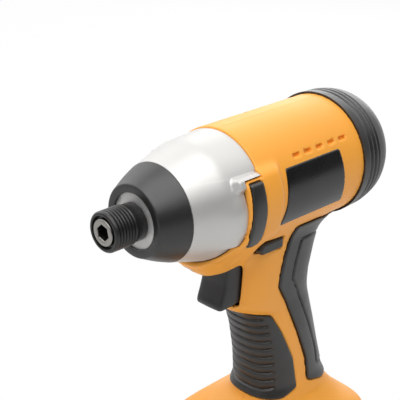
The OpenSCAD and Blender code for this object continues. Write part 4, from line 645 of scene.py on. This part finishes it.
# Finish of each slot: name, colour or the panel's name for it, share of the darker tone, roughness and its spread,
# scale of the grain, and what else differs from the usual
LOOKS = {
    "orange_plastic": ("Orange plastic", "orange", 0.95, 0.48, 0.05, 2600,
                       dict(bump=0.10, rub=(0.95, 0.45, 0.10), rub_amount=0.12)),
    "rubber": ("Soft rubber", "rubber", 0.85, 0.4, 0.06, 3200,
               dict(bump=0.2, rub=(0.05, 0.05, 0.048), rub_amount=0.5, Specular_IOR_Level=0.65)),
    "black_plastic": ("Black plastic", "black", 0.85, 0.42, 0.08, 2200,
                      dict(bump=0.2, rub=(0.09, 0.09, 0.09), rub_amount=0.5, Specular_IOR_Level=0.65)),
    "button": ("Button plastic", (0.05, 0.05, 0.052), 0.85, 0.4, 0.07, 2200, dict(bump=0.2, rub=(0.16, 0.16, 0.16))),
    "case_alloy": ("Silver paint", "silver", 0.97, 0.48, 0.05, 5200,
                   dict(mottle=20, bump=0.10, depth=0.0001, rub=(0.6, 0.6, 0.6), rub_amount=0.3, Metallic=0.62)),
    "steel": ("Machined steel", "steel", 0.9, 0.3, 0.07, 900, dict(along=6.0, depth=0.0001, Metallic=1.0)),
    "dark_steel": ("Black oxide", "oxide", 0.8, 0.32, 0.07, 700,
                   dict(along=8.0, bump=0.10, depth=0.0001, rub=(0.16, 0.155, 0.15), rub_amount=0.5, Metallic=0.6)),
    "label": ("Gloss label", "label", 0.9, 0.28, 0.05, 1200, dict(bump=0.03)),
    "lens": ("Clear lens", (0.9, 0.92, 0.93), 0.97, 0.12, 0.04, 900,
             dict(bump=0.02, Transmission_Weight=0.6, IOR=1.49)),
    "spring_steel": ("Spring steel", (0.42, 0.42, 0.43), 0.85, 0.32, 0.06, 1500, dict(Metallic=1.0)),
    "bronze": ("Sintered bronze", (0.52, 0.33, 0.15), 0.8, 0.45, 0.08, 2600, dict(bump=0.3, Metallic=1.0)),
    "copper": ("Enamelled copper", (0.62, 0.22, 0.09), 0.75, 0.35, 0.08, 1800, dict(along=0.2, Metallic=1.0)),
    "magnet": ("Ferrite", (0.035, 0.035, 0.037), 0.7, 0.6, 0.08, 2600, dict(bump=0.3)),
    "board": ("Circuit board", (0.03, 0.16, 0.06), 0.8, 0.4, 0.06, 1400, dict(bump=0.1)),
    "red_lead": ("Red insulation", (0.42, 0.02, 0.02), 0.85, 0.45, 0.06, 1600, {}),
    "black_lead": ("Black insulation", (0.02, 0.02, 0.02), 0.85, 0.45, 0.06, 1600, {}),
    "cell": ("Cell wrap", (0.06, 0.18, 0.42), 0.85, 0.35, 0.06, 900, {}),
    "nickel": ("Nickel strip", (0.6, 0.58, 0.54), 0.9, 0.28, 0.06, 1500, dict(Metallic=1.0)),
}


def finish(name, colour, change, rough, spread, fine, along=1.0, mottle=35, bump=0.12, depth=0.0002, rub=None,
           rub_amount=0.6, **sockets):
    """One Principled finish: colour mottled towards a share of itself, rubbed edges in their own colour, gloss from
    handling, and bump from the grain. Other sockets are set as they are named."""
    if not EFFECTS:
        EFFECTS.update(grain=grain_effect(), rub=rub_effect(), handling=handling_effect())
    material = bpy.data.materials.new(name)
    material.use_nodes = True
    tree = material.node_tree
    grain = put(tree, "ShaderNodeGroup", {"Fine": fine, "Along": along, "Mottle": mottle}, node_tree=EFFECTS["grain"])
    dark, pale = [(*[min(c * share, 1) for c in colour[:3]], 1) for share in (change, 2 - change)]
    base = put(tree, "ShaderNodeMix", {0: grain.outputs["Tone"], 6: dark, 7: pale}, data_type="RGBA").outputs[2]
    if rub is not None:
        worn = put(tree, "ShaderNodeGroup", {"Amount": rub_amount}, node_tree=EFFECTS["rub"]).outputs["Mask"]
        base = put(tree, "ShaderNodeMix", {0: worn, 6: base, 7: (*rub, 1)}, data_type="RGBA").outputs[2]
    used = put(tree, "ShaderNodeGroup", node_tree=EFFECTS["handling"]).outputs["Mask"]
    gloss = put(tree, "ShaderNodeMapRange", {"Value": used, "From Min": 0.25, "From Max": 0.8,
                                             "To Min": rough - spread, "To Max": rough + spread})
    relief = put(tree, "ShaderNodeBump", {"Height": grain.outputs["Height"], "Strength": bump, "Distance": depth})
    named = {key.replace("_", " "): value for key, value in sockets.items()}
    fill(tree, tree.nodes["Principled BSDF"].inputs, {"Base Color": base, "Roughness": gloss.outputs[0],
                                                      "Normal": relief.outputs[0], **named})
    return material


def look(slot):
    """Finish of a slot, made when it is first asked for."""
    if slot not in FINISHES:
        name, colour, *values, others = LOOKS[slot]
        if isinstance(colour, str):
            colour = getattr(bpy.context.scene.driver_finish, colour)
        FINISHES[slot] = finish(name, colour, *values, **others)
    return FINISHES[slot]


# Pieces

class DressPiece:
    """What the operators share."""
    bl_options = {"REGISTER", "UNDO"}

    @property
    def sizes(self):
        return bpy.context.scene.driver_sizes


class IMPACT_OT_bit_holder(DressPiece, bpy.types.Operator):
    """Anvil with its hex socket, and the ribbed sleeve round it"""
    bl_idname = "impact.bit_holder"
    bl_label = "Bit holder"

    def execute(self, context):
        hex_face, hex_lie, bottom, front, steps = 3.2, 46.4, 23.8, -0.2, 240

        def socket(x, r, t):
            """Hex wall: face distance over the cosine of the angle from the nearest face's middle."""
            turn = np.mod(t - np.radians(hex_lie) + np.pi / 6, np.pi / 3) - np.pi / 6
            return np.where(r < 3.5, r / np.cos(turn), r)

        nose = [(bottom, 0.02), (bottom, 1.6), (bottom, hex_face), (12, hex_face), (4, hex_face),
                (front + 0.35, hex_face), (front + 0.1, hex_face + 0.2), (front, 4.05), (front, 4.8),
                *arc(front + 0.4, 5.55, 0.4, 180, 90, 5).tolist(), (front + 0.6, 5.98), (front + 0.8, 6.0), (12, 6.0),
                (13.5, 6.0), (13.5, 6.8), (34.4, 6.8), (34.4, 9), (41.4, 9), (41.4, 0.02)]
        add_piece("anvil_nose", turned(nose, steps, socket), "anvil", "steel", ["anvil"], 30)
        ribs = []
        for i in range(6):
            x = 1.75 + 1.6 * i
            ribs += [(x, 8.95), (x + 0.2, 8.5), (x + 0.42, 8.25), (x + 0.64, 8.5), (x + 0.84, 8.95), (x + 1.05, 9.08),
                     (x + 1.4, 9.08)]
        sleeve = [(0.5, 7.2), (0.15, 7.35), (0, 7.7), (0.02, 8.1), (0.2, 8.5), (0.55, 8.85), (1.0, 9.04), (1.4, 9.08),
                  *ribs, (11.2, 8.95), (11.4, 8.55), (16.9, 8.5), (17.2, 8.3), (17.3, 8.0), (17.3, 7.1), (12.9, 7.1),
                  (12.9, 6.05), (9.9, 6.05), (9.9, 7.2)]
        add_piece("sleeve_ribbed", turned(sleeve, steps), "sleeve", "dark_steel", ["chuck_sleeve"], 42)
        return {"FINISHED"}


class IMPACT_OT_nose_and_case(DressPiece, bpy.types.Operator):
    """Rubber nose bumper and the silver hammer case with its flanks and tabs"""
    bl_idname = "impact.nose_and_case"
    bl_label = "Nose and hammer case"

    def execute(self, context):
        cone = np.linspace(0, 1, 14)
        skin = np.stack([17.5 + 12.2 * cone, 16.85 + 5.5 * cone + 0.3 * np.sin(np.pi * cone)], 1)
        bumper = np.concatenate([[(17.45, 12.6)], arc(16.9, 13.1, 0.5, 270, 180, 4),
                                 arc(17.6, 15.65, 1.2, 180, 114, 7), skin[1:], arc(29.8, 22.05, 0.4, 75, 0, 4),
                                 [(30.2, 19.3), (22, 14.15), (17.45, 14.15)]])
        add_piece("nose_bumper_rubber", turned(bumper, 200), "housing", "rubber", ["nose_bumper"])
        fine = np.radians(spaced((-38, 42, 0.42)))
        side = np.concatenate([fine, np.radians(spaced((44, 136, 2.5))), np.pi - fine[::-1],
                               np.radians(spaced((220.5, 319.5, 2.5)))])
        x = np.unique(np.concatenate([spaced((30.3, 42, 1.2), (42, 56, 0.45), (56, 64, 1.2), (64, 65.9, 0.5)),
                                      [LIP_X - 0.14, LIP_X - 0.1, 64.99, 65.03]]))
        bell = np.interp(x, CASE_X, CASE_R)
        outer = [(17.5, 7.4), (17.5, 13.9), (17.7, 14.1), (22, 14.1), (30.25, 19.25), (30.25, 22.2)]
        inner = [(65.9, 26.4), (79.6, 26.4), (79.6, 24.4), (48, 24.4), (33, 19), (33, 9.6), (24, 9.6), (24, 7.4)]
        profile = np.concatenate([outer, np.stack([x, bell], 1), inner])

        def flanks(px, pr, t):
            """The case's own radius on the points of its outer skin."""
            shell = (pr > 22.25) & (px > 30.28) & (px < 65.95) & (np.abs(pr - np.interp(px, CASE_X, CASE_R)) < 1e-6)
            return np.where(shell, case_skin(px, np.sin(t)), pr)

        add_piece("hammer_case_shell", turned(profile, side, flanks), "housing", "case_alloy", ["hammer_case"], 45)
        return {"FINISHED"}


class IMPACT_OT_housing(DressPiece, bpy.types.Operator):
    """Both moulded halves of the housing"""
    bl_idname = "impact.housing"
    bl_label = "Housing"

    def execute(self, context):
        net = self.sizes.net * 1000
        far = net * 1.4
        xs = spaced((41, 92, net), (92, 153.4, far))
        ys = spaced((-37.4, -34, far), (-34, -1.2, net), (-1.2, 0.6, 0.3))
        zs = spaced((-147, -72, far), (-72, 34, net))
        for side, name in SIDES:
            across = ys if side < 0 else -ys[::-1]
            add_piece(f"housing_{name}_shell", netted(housing_field(side, self.sizes), xs, across, zs),
                      "housing", "orange_plastic", [f"housing_{name}"], 50)
        return {"FINISHED"}


class IMPACT_OT_side_pads(DressPiece, bpy.types.Operator):
    """Rubber pads let into the wings"""
    bl_idname = "impact.side_pads"
    bl_label = "Side pads"

    def execute(self, context):
        def field(x, y, z):
            r = np.sqrt(y * y + z * z)
            crown = 33.1 - 0.012 * (x - 60.4) ** 2
            return np.maximum(blend_max(PAD_PLAN(x, z), r - crown, 1.1), 30.4 - r)

        shape = netted(field, *block(0.4, (54, 66), (-34.2, -25), (-18, 14.4)))
        add_piece("side_pads_rubber", mirrored(*shape), "housing", "rubber", ["side_pads"], 50)
        return {"FINISHED"}


class IMPACT_OT_labels(DressPiece, bpy.types.Operator):
    """Bare gloss plates on both sides of the barrel"""
    bl_idname = "impact.labels"
    bl_label = "Label plates"

    def execute(self, context):
        plan = Plan(eased(LABEL, 2.4))

        def field(x, y, z):
            r = np.sqrt(y * y + z * z)
            return np.maximum(blend_max(plan(x, z), r - 29.75, 0.5), 28.4 - r)

        shape = netted(field, spaced((75.4, 123.8, 0.6)), spaced((-30.7, -23.3, 0.5)), spaced((-13.6, 15.8, 0.6)))
        add_piece("label_plates_gloss", mirrored(*shape), "housing", "label", ["label_plates"], 50)
        return {"FINISHED"}


class IMPACT_OT_grips(DressPiece, bpy.types.Operator):
    """Rubber over the handle: two side panels with an inner groove and a ribbed front"""
    bl_idname = "impact.grips"
    bl_label = "Grips"

    def execute(self, context):
        sizes = self.sizes
        thick, fillet, inset = sizes.rubber * 1000, sizes.fillet * 1000, sizes.groove * 1000

        def panel(side):
            def field(x, y, z):
                skin = barrel_and_handle(x, y, z, fillet)
                plan = SIDE_PLAN(x, z)
                groove = np.exp(-((plan + inset) / 0.4) ** 2)
                proud = thick + 0.25 * ease((-plan - inset) / 1.2) - 0.8 * groove
                d = blend_max(skin - proud, plan + 0.2, 1.1)
                if side > 0:
                    sx, sz = HOUSING_SCREWS[0]
                    d = blend_max(d, 3.3 - np.sqrt((x - sx) ** 2 + (z - sz) ** 2), 0.6)
                return np.maximum(np.maximum(d, -skin - 1.1), 0.05 - side * y)
            return field

        def front(x, y, z):
            skin = barrel_and_handle(x, y, z, fillet)
            plan = FRONT_PLAN(x, z)
            pitch = sizes.rib_pitch * 1000
            wave = (z + 74.1 - 1.3 * (y / 13.5) ** 4) / pitch
            near = ease((15.0 - np.abs(y)) / 2.0) * ease((-plan - 1.6) / 1.6)
            rib = 0.75 * near * ridges(wave, pitch / 0.6)
            return np.maximum(blend_max(skin - thick + rib, plan + 0.2, 1.1), -skin - 1.1)

        xs, zs = spaced((86, 145, 0.6)), spaced((-118, -18, 0.6))
        ys = spaced((-24.5, 0.8, 0.65))
        for side, name in SIDES:
            across = ys if side < 0 else -ys[::-1]
            add_piece(f"grip_{name}_rubber", netted(panel(side), xs, across, zs), "housing", "rubber",
                      [f"grip_{name}"], 50)
        shape = netted(front, *block(0.5, (66, 108.8), (-20.4, 20.4), (-118, -62)))
        add_piece("front_grip_rubber", shape, "housing", "rubber", ["front_grip"], 50)
        return {"FINISHED"}


class IMPACT_OT_rear_bumper(DressPiece, bpy.types.Operator):
    """Rubber cap on the tail, with rings and vents"""
    bl_idname = "impact.rear_bumper"
    bl_label = "Rear bumper"

    def execute(self, context):
        s = np.linspace(0, 1, 61)
        tail = softened(s, [0, 0.38, 0.62, 0.8, 0.92, 1], [30.4, 29.95, 28.35, 25.4, 21.6, 17.5], 6, 2.5)
        x = TAIL_X + 28.4 * s
        ring = 0.55 * sum(np.exp(-((x - at) / 0.55) ** 2) for at in (140.5, 143.6, 146.7))
        end = np.linspace(1, 0, 12)[1:]
        cap = np.stack([163.65 + 0.55 * (1 - end ** 2) ** 0.5, tail[-1] * end + 0.02], 1)
        inner = [(161.5, 0.02), (161.5, 15), (152, 25), (151.2, 27.4), (TAIL_X, 27.4)]
        profile = np.concatenate([np.stack([x, tail - ring], 1), cap, inner])
        shape, quads = turned(profile, 240)
        r, t = np.hypot(shape[:, 1], shape[:, 2]), np.arctan2(shape[:, 2], shape[:, 1])
        slot = ease((np.cos(9 * t) - 0.35) / 0.3) * ease(r - 7) * ease(16.5 - r) * (shape[:, 0] > 162.5)
        shape[:, 0] -= 1.5 * slot
        add_piece("rear_bumper_rubber", (shape, quads), "housing", "rubber", ["rear_bumper"], 42)
        return {"FINISHED"}


class IMPACT_OT_trigger(DressPiece, bpy.types.Operator):
    """Variable speed trigger with a hollowed finger face"""
    bl_idname = "impact.trigger"
    bl_label = "Trigger"

    def execute(self, context):
        """The finger face is bowed across by q^2 / 70 and followed by flanks that widen by a quarter of the depth."""
        plan = Plan(eased(TRIGGER, 2.6), 0.15)
        pocket = (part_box("trigger_spring")[0].x - NOSE[0]) * 1000 - 0.1

        def field(x, y, z):
            q = np.abs(y)
            deep = x - np.interp(-z, FINGER_DROP, FINGER)
            d = blend_max(plan(x, z), 0.99 * (q * q / 70 - deep), 1.4)
            d = blend_max(blend_max(d, 0.97 * (q - 7.6 - 0.25 * deep), 1.6), q - 9.7, 1.6)
            r = np.sqrt(y * y + (z - STEM_Z) ** 2)
            stem = np.maximum(np.maximum(r - 3, 75 - x), x - 95)
            return np.minimum(np.maximum(d, -np.maximum(r - 5, pocket - x)), stem)

        shape = netted(field, *block(0.45, (59.4, 96), (-10.8, 10.8), (-59.6, -32.2)))
        add_piece("trigger_finger", shape, "trigger", "black_plastic", ["trigger"], 50)
        return {"FINISHED"}


class IMPACT_OT_springs(DressPiece, bpy.types.Operator):
    """Wire springs in place of the solid ones, each riding on its body"""
    bl_idname = "impact.springs"
    bl_label = "Springs"

    def execute(self, context):
        for node, body, joint, axis, fixed, travel, wire, turns in (
                ("sleeve_spring", "anvil", "sleeve_slide", 0, 0, 4.5, 0.7, 4),
                ("hammer_spring", "spindle", "hammer_slide", 0, 1, 8.0, 2.2, 4),
                ("trigger_spring", "housing", "trigger_slide", 0, 1, 7.0, 0.8, 5),
                ("release_spring", "battery", "release_press", 2, 0, 3.0, 0.45, 5)):
            ends = [(np.array(corner) - NOSE) * 1000 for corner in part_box(node)]
            if axis == 2:
                # The release button has a pair, so one spring is as wide as its box is long
                wide = ends[1][0] - ends[0][0]
                corner = np.array([ends[1][0], ends[0][1] + wide, ends[1][2]])
                shape = mirrored(*coil(ends[0], corner, axis, wire, turns))
            else:
                shape = coil(*ends, axis, wire, turns)
            spring = add_piece(f"{node}_wire", shape, body, "spring_steel", [node], 60)
            way, anchor = [0.0, 0.0, 0.0], [0.0, 0.0, 0.0]
            way[axis], anchor[axis] = 1.0, float(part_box(node)[fixed][axis])
            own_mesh(spring)
        return {"FINISHED"}


class IMPACT_OT_lamp(DressPiece, bpy.types.Operator):
    """Clear lens of the work lamp in the chin"""
    bl_idname = "impact.lamp"
    bl_label = "Work lamp"

    def execute(self, context):
        fillet = self.sizes.fillet * 1000

        def field(x, y, z):
            bar = np.maximum(np.sqrt(y * y + (z - LAMP_Z) ** 2) - 1.95, x - 52.9)
            return blend_max(bar, barrel_and_handle(x, y, z, fillet) + 0.12, 0.3)

        shape = netted(field, *block(0.3, (43, 53.5), (-2.7, 2.7), (-36.1, -30.7)))
        add_piece("led_lens_clear", shape, "housing", "lens", ["led_lens"], 50)
        return {"FINISHED"}


class IMPACT_OT_selector(DressPiece, bpy.types.Operator):
    """Direction selector through the housing, with a bevelled button at each end"""
    bl_idname = "impact.selector"
    bl_label = "Direction selector"

    def execute(self, context):
        def field(x, y, z):
            q = np.abs(y)
            flat = SELECTOR_PLAN(x, z)
            button = np.maximum(blend_max(flat, np.maximum(q - 20.4, flat + (q - 19.2) * 0.8), 0.6), 15.6 - q)
            link = box_distance(x, y, z, (81, -16.2, -29.3), (90, 16.2, -26.9), 0.4)
            return np.minimum(button, link)

        shape = netted(field, *block(0.35, (72.6, 91), (-21.2, 21.2), (-30.4, -22.8)))
        add_piece("direction_selector_bar", shape, "selector", "black_plastic", ["direction_selector"], 45)
        return {"FINISHED"}


class IMPACT_OT_battery(DressPiece, bpy.types.Operator):
    """Pack: top with rails, base, and the release button"""
    bl_idname = "impact.battery"
    bl_label = "Battery"

    def execute(self, context):
        for name, field, low, high in (("top", pack_top, -164, -130.6), ("base", pack_base, -179.5, -161.8)):
            shape = netted(field, *block(0.85, (46.6, 154.4), (-37.2, 37.2), (low, high)))
            add_piece(f"battery_{name}_shell", shape, "battery", "black_plastic", [f"battery_{name}"], 50)
        shape = netted(release_field, *block(0.4, (47.6, 54), (-14.3, 14.3), (-155.6, -144.4)))
        add_piece("release_button_ridged", shape, "release", "black_plastic", ["release_button"], 50, "button")
        return {"FINISHED"}


class IMPACT_OT_hardware(DressPiece, bpy.types.Operator):
    """Finishes for the solids that show as they are, and for all that is inside"""
    bl_idname = "impact.hardware"
    bl_label = "Hardware and inside"

    def execute(self, context):
        for part in frame["record"]["subparts"]:
            # The sleeve's snap ring and washer sit in the shaded gap between anvil and sleeve. They get black oxide in
            # place of their steel, as painted shade for that gap
            painted_gap_shade = part["node"] in ("sleeve_snap_ring", "sleeve_washer")
            surface = look("dark_steel" if painted_gap_shade else part["material_slot"])
            for place in frame["nodes"][part["node"]].material_slots:
                place.material = surface
        return {"FINISHED"}


class IMPACT_OT_studio(DressPiece, bpy.types.Operator):
    """Pale floor, soft lights and the camera"""
    bl_idname = "impact.studio"
    bl_label = "Studio"

    def execute(self, context):
        scene = context.scene
        scene.view_settings.view_transform = "Standard"
        mesh = bpy.data.meshes.new("floor")
        reach = 3.0
        mesh.from_pydata([(-reach, -reach, 0), (reach, -reach, 0), (reach, reach, 0), (-reach, reach, 0)], [],
                         [(0, 1, 2, 3)])
        floor = bpy.data.objects.new("floor", mesh)
        scene.collection.objects.link(floor)
        paper = bpy.data.materials.new("Paper")
        paper.use_nodes = True
        tree = paper.node_tree
        tree.nodes.remove(tree.nodes["Principled BSDF"])
        matt = put(tree, "ShaderNodeBsdfDiffuse", {"Color": (0.88, 0.88, 0.88, 1)})
        white = put(tree, "ShaderNodeEmission", {"Color": (1, 1, 1, 1), "Strength": 1.0})
        share = maths(tree, "MULTIPLY", seen(tree), 0.95)
        mix = put(tree, "ShaderNodeMixShader", {0: share, 1: matt.outputs[0], 2: white.outputs[0]})
        fill(tree, tree.nodes["Material Output"].inputs, {"Surface": mix.outputs[0]})
        mesh.materials.append(paper)

        world = bpy.data.worlds.new("Studio")
        scene.world = world
        world.use_nodes = True
        tree = world.node_tree
        soft = tree.nodes["Background"]
        fill(tree, soft.inputs, {"Color": (1, 1, 1, 1), "Strength": 0.36})
        back = put(tree, "ShaderNodeBackground", {"Color": (1, 1, 1, 1), "Strength": 1.0})
        mix = put(tree, "ShaderNodeMixShader", {0: seen(tree), 1: soft.outputs[0], 2: back.outputs[0]})
        fill(tree, tree.nodes["World Output"].inputs, {"Surface": mix.outputs[0]})

        aim = np.array((0, 0, 0.15))
        for name, place, size, power in (("top", (-0.25, -0.25, 1.05), 1.2, 11.2),
                                         ("back", (-0.15, 0.9, 0.75), 1.0, 4.5),
                                         ("rear", (0.85, 0.45, 0.55), 0.8, 4.0)):
            lamp = bpy.data.lights.new(name, "AREA")
            lamp.size, lamp.energy = size, power
            light = bpy.data.objects.new(name, lamp)
            light.location = place
            way = aim - np.array(place)
            tilt, turn = math.acos(-way[2] / np.linalg.norm(way)), math.atan2(way[1], way[0]) - math.pi / 2
            light.rotation_euler = (tilt, 0, turn)
            scene.collection.objects.link(light)

        # Grey cards that the camera doesn't see, for the dark side of each gloss: two feet on the floor and a height
        card = bpy.data.meshes.new("card")
        cards = (((-0.55, 0.75), (-0.8, 0.1), 0.32), ((-1.2, -0.1), (-0.1, -1.2), 0.8),
                 ((-0.1, -1.2), (1.2, -0.7), 0.8))
        card.from_pydata([(*at, z) for *feet, tall in cards for z in (0, tall) for at in feet], [],
                         [(4 * i, 4 * i + 1, 4 * i + 3, 4 * i + 2) for i in range(len(cards))])
        shade = bpy.data.materials.new("Grey card")
        shade.use_nodes = True
        shade.node_tree.nodes["Principled BSDF"].inputs["Base Color"].default_value = (0.06, 0.06, 0.06, 1)
        card.materials.append(shade)
        flag = bpy.data.objects.new("card", card)
        flag.visible_camera = False
        scene.collection.objects.link(flag)

        # Camera in metres, fitted to the circles of the nose
        lens = bpy.data.cameras.new("camera")
        lens.lens, lens.sensor_width = 100, 36
        camera = bpy.data.objects.new("camera", lens)
        right, up, ahead = (0.7135, -0.7007, 0), (0.2721, 0.2771, 0.9215), (0.6457, 0.6575, -0.3883)
        camera.matrix_world = Matrix([(right[i], up[i], -ahead[i], at) for i, at in
                                      enumerate((-0.3440, -0.32363, 0.36763))] + [(0, 0, 0, 1)])
        scene.collection.objects.link(camera)
        scene.camera = camera
        return {"FINISHED"}


PIECES = (IMPACT_OT_bit_holder, IMPACT_OT_nose_and_case, IMPACT_OT_housing, IMPACT_OT_side_pads, IMPACT_OT_labels,
          IMPACT_OT_grips, IMPACT_OT_rear_bumper, IMPACT_OT_trigger, IMPACT_OT_springs, IMPACT_OT_lamp,
          IMPACT_OT_selector, IMPACT_OT_battery, IMPACT_OT_hardware, IMPACT_OT_studio)


class IMPACT_PT_pieces(bpy.types.Panel):
    """Lists the pieces with the sizes and colours that they read"""
    bl_label = "Impact driver"
    bl_idname = "IMPACT_PT_pieces"
    bl_space_type = "VIEW_3D"
    bl_region_type = "UI"
    bl_category = "Impact driver"

    def draw(self, context):
        for group in (context.scene.driver_sizes, context.scene.driver_finish):
            for name in group.__annotations__:
                self.layout.prop(group, name)
        for piece in PIECES:
            self.layout.operator(piece.bl_idname)


CLASSES = (DriverSizes, DriverFinish, *PIECES, IMPACT_PT_pieces)


def register():
    for kind in CLASSES:
        bpy.utils.register_class(kind)
    bpy.types.Scene.driver_sizes = PointerProperty(type=DriverSizes)
    bpy.types.Scene.driver_finish = PointerProperty(type=DriverFinish)


def unregister():
    del bpy.types.Scene.driver_finish
    del bpy.types.Scene.driver_sizes
    for kind in reversed(CLASSES):
        bpy.utils.unregister_class(kind)


def main():
    register()
    for piece in PIECES:
        group, name = piece.bl_idname.split(".")
        getattr(getattr(bpy.ops, group), name)()


if __name__ == "__main__":
    main()
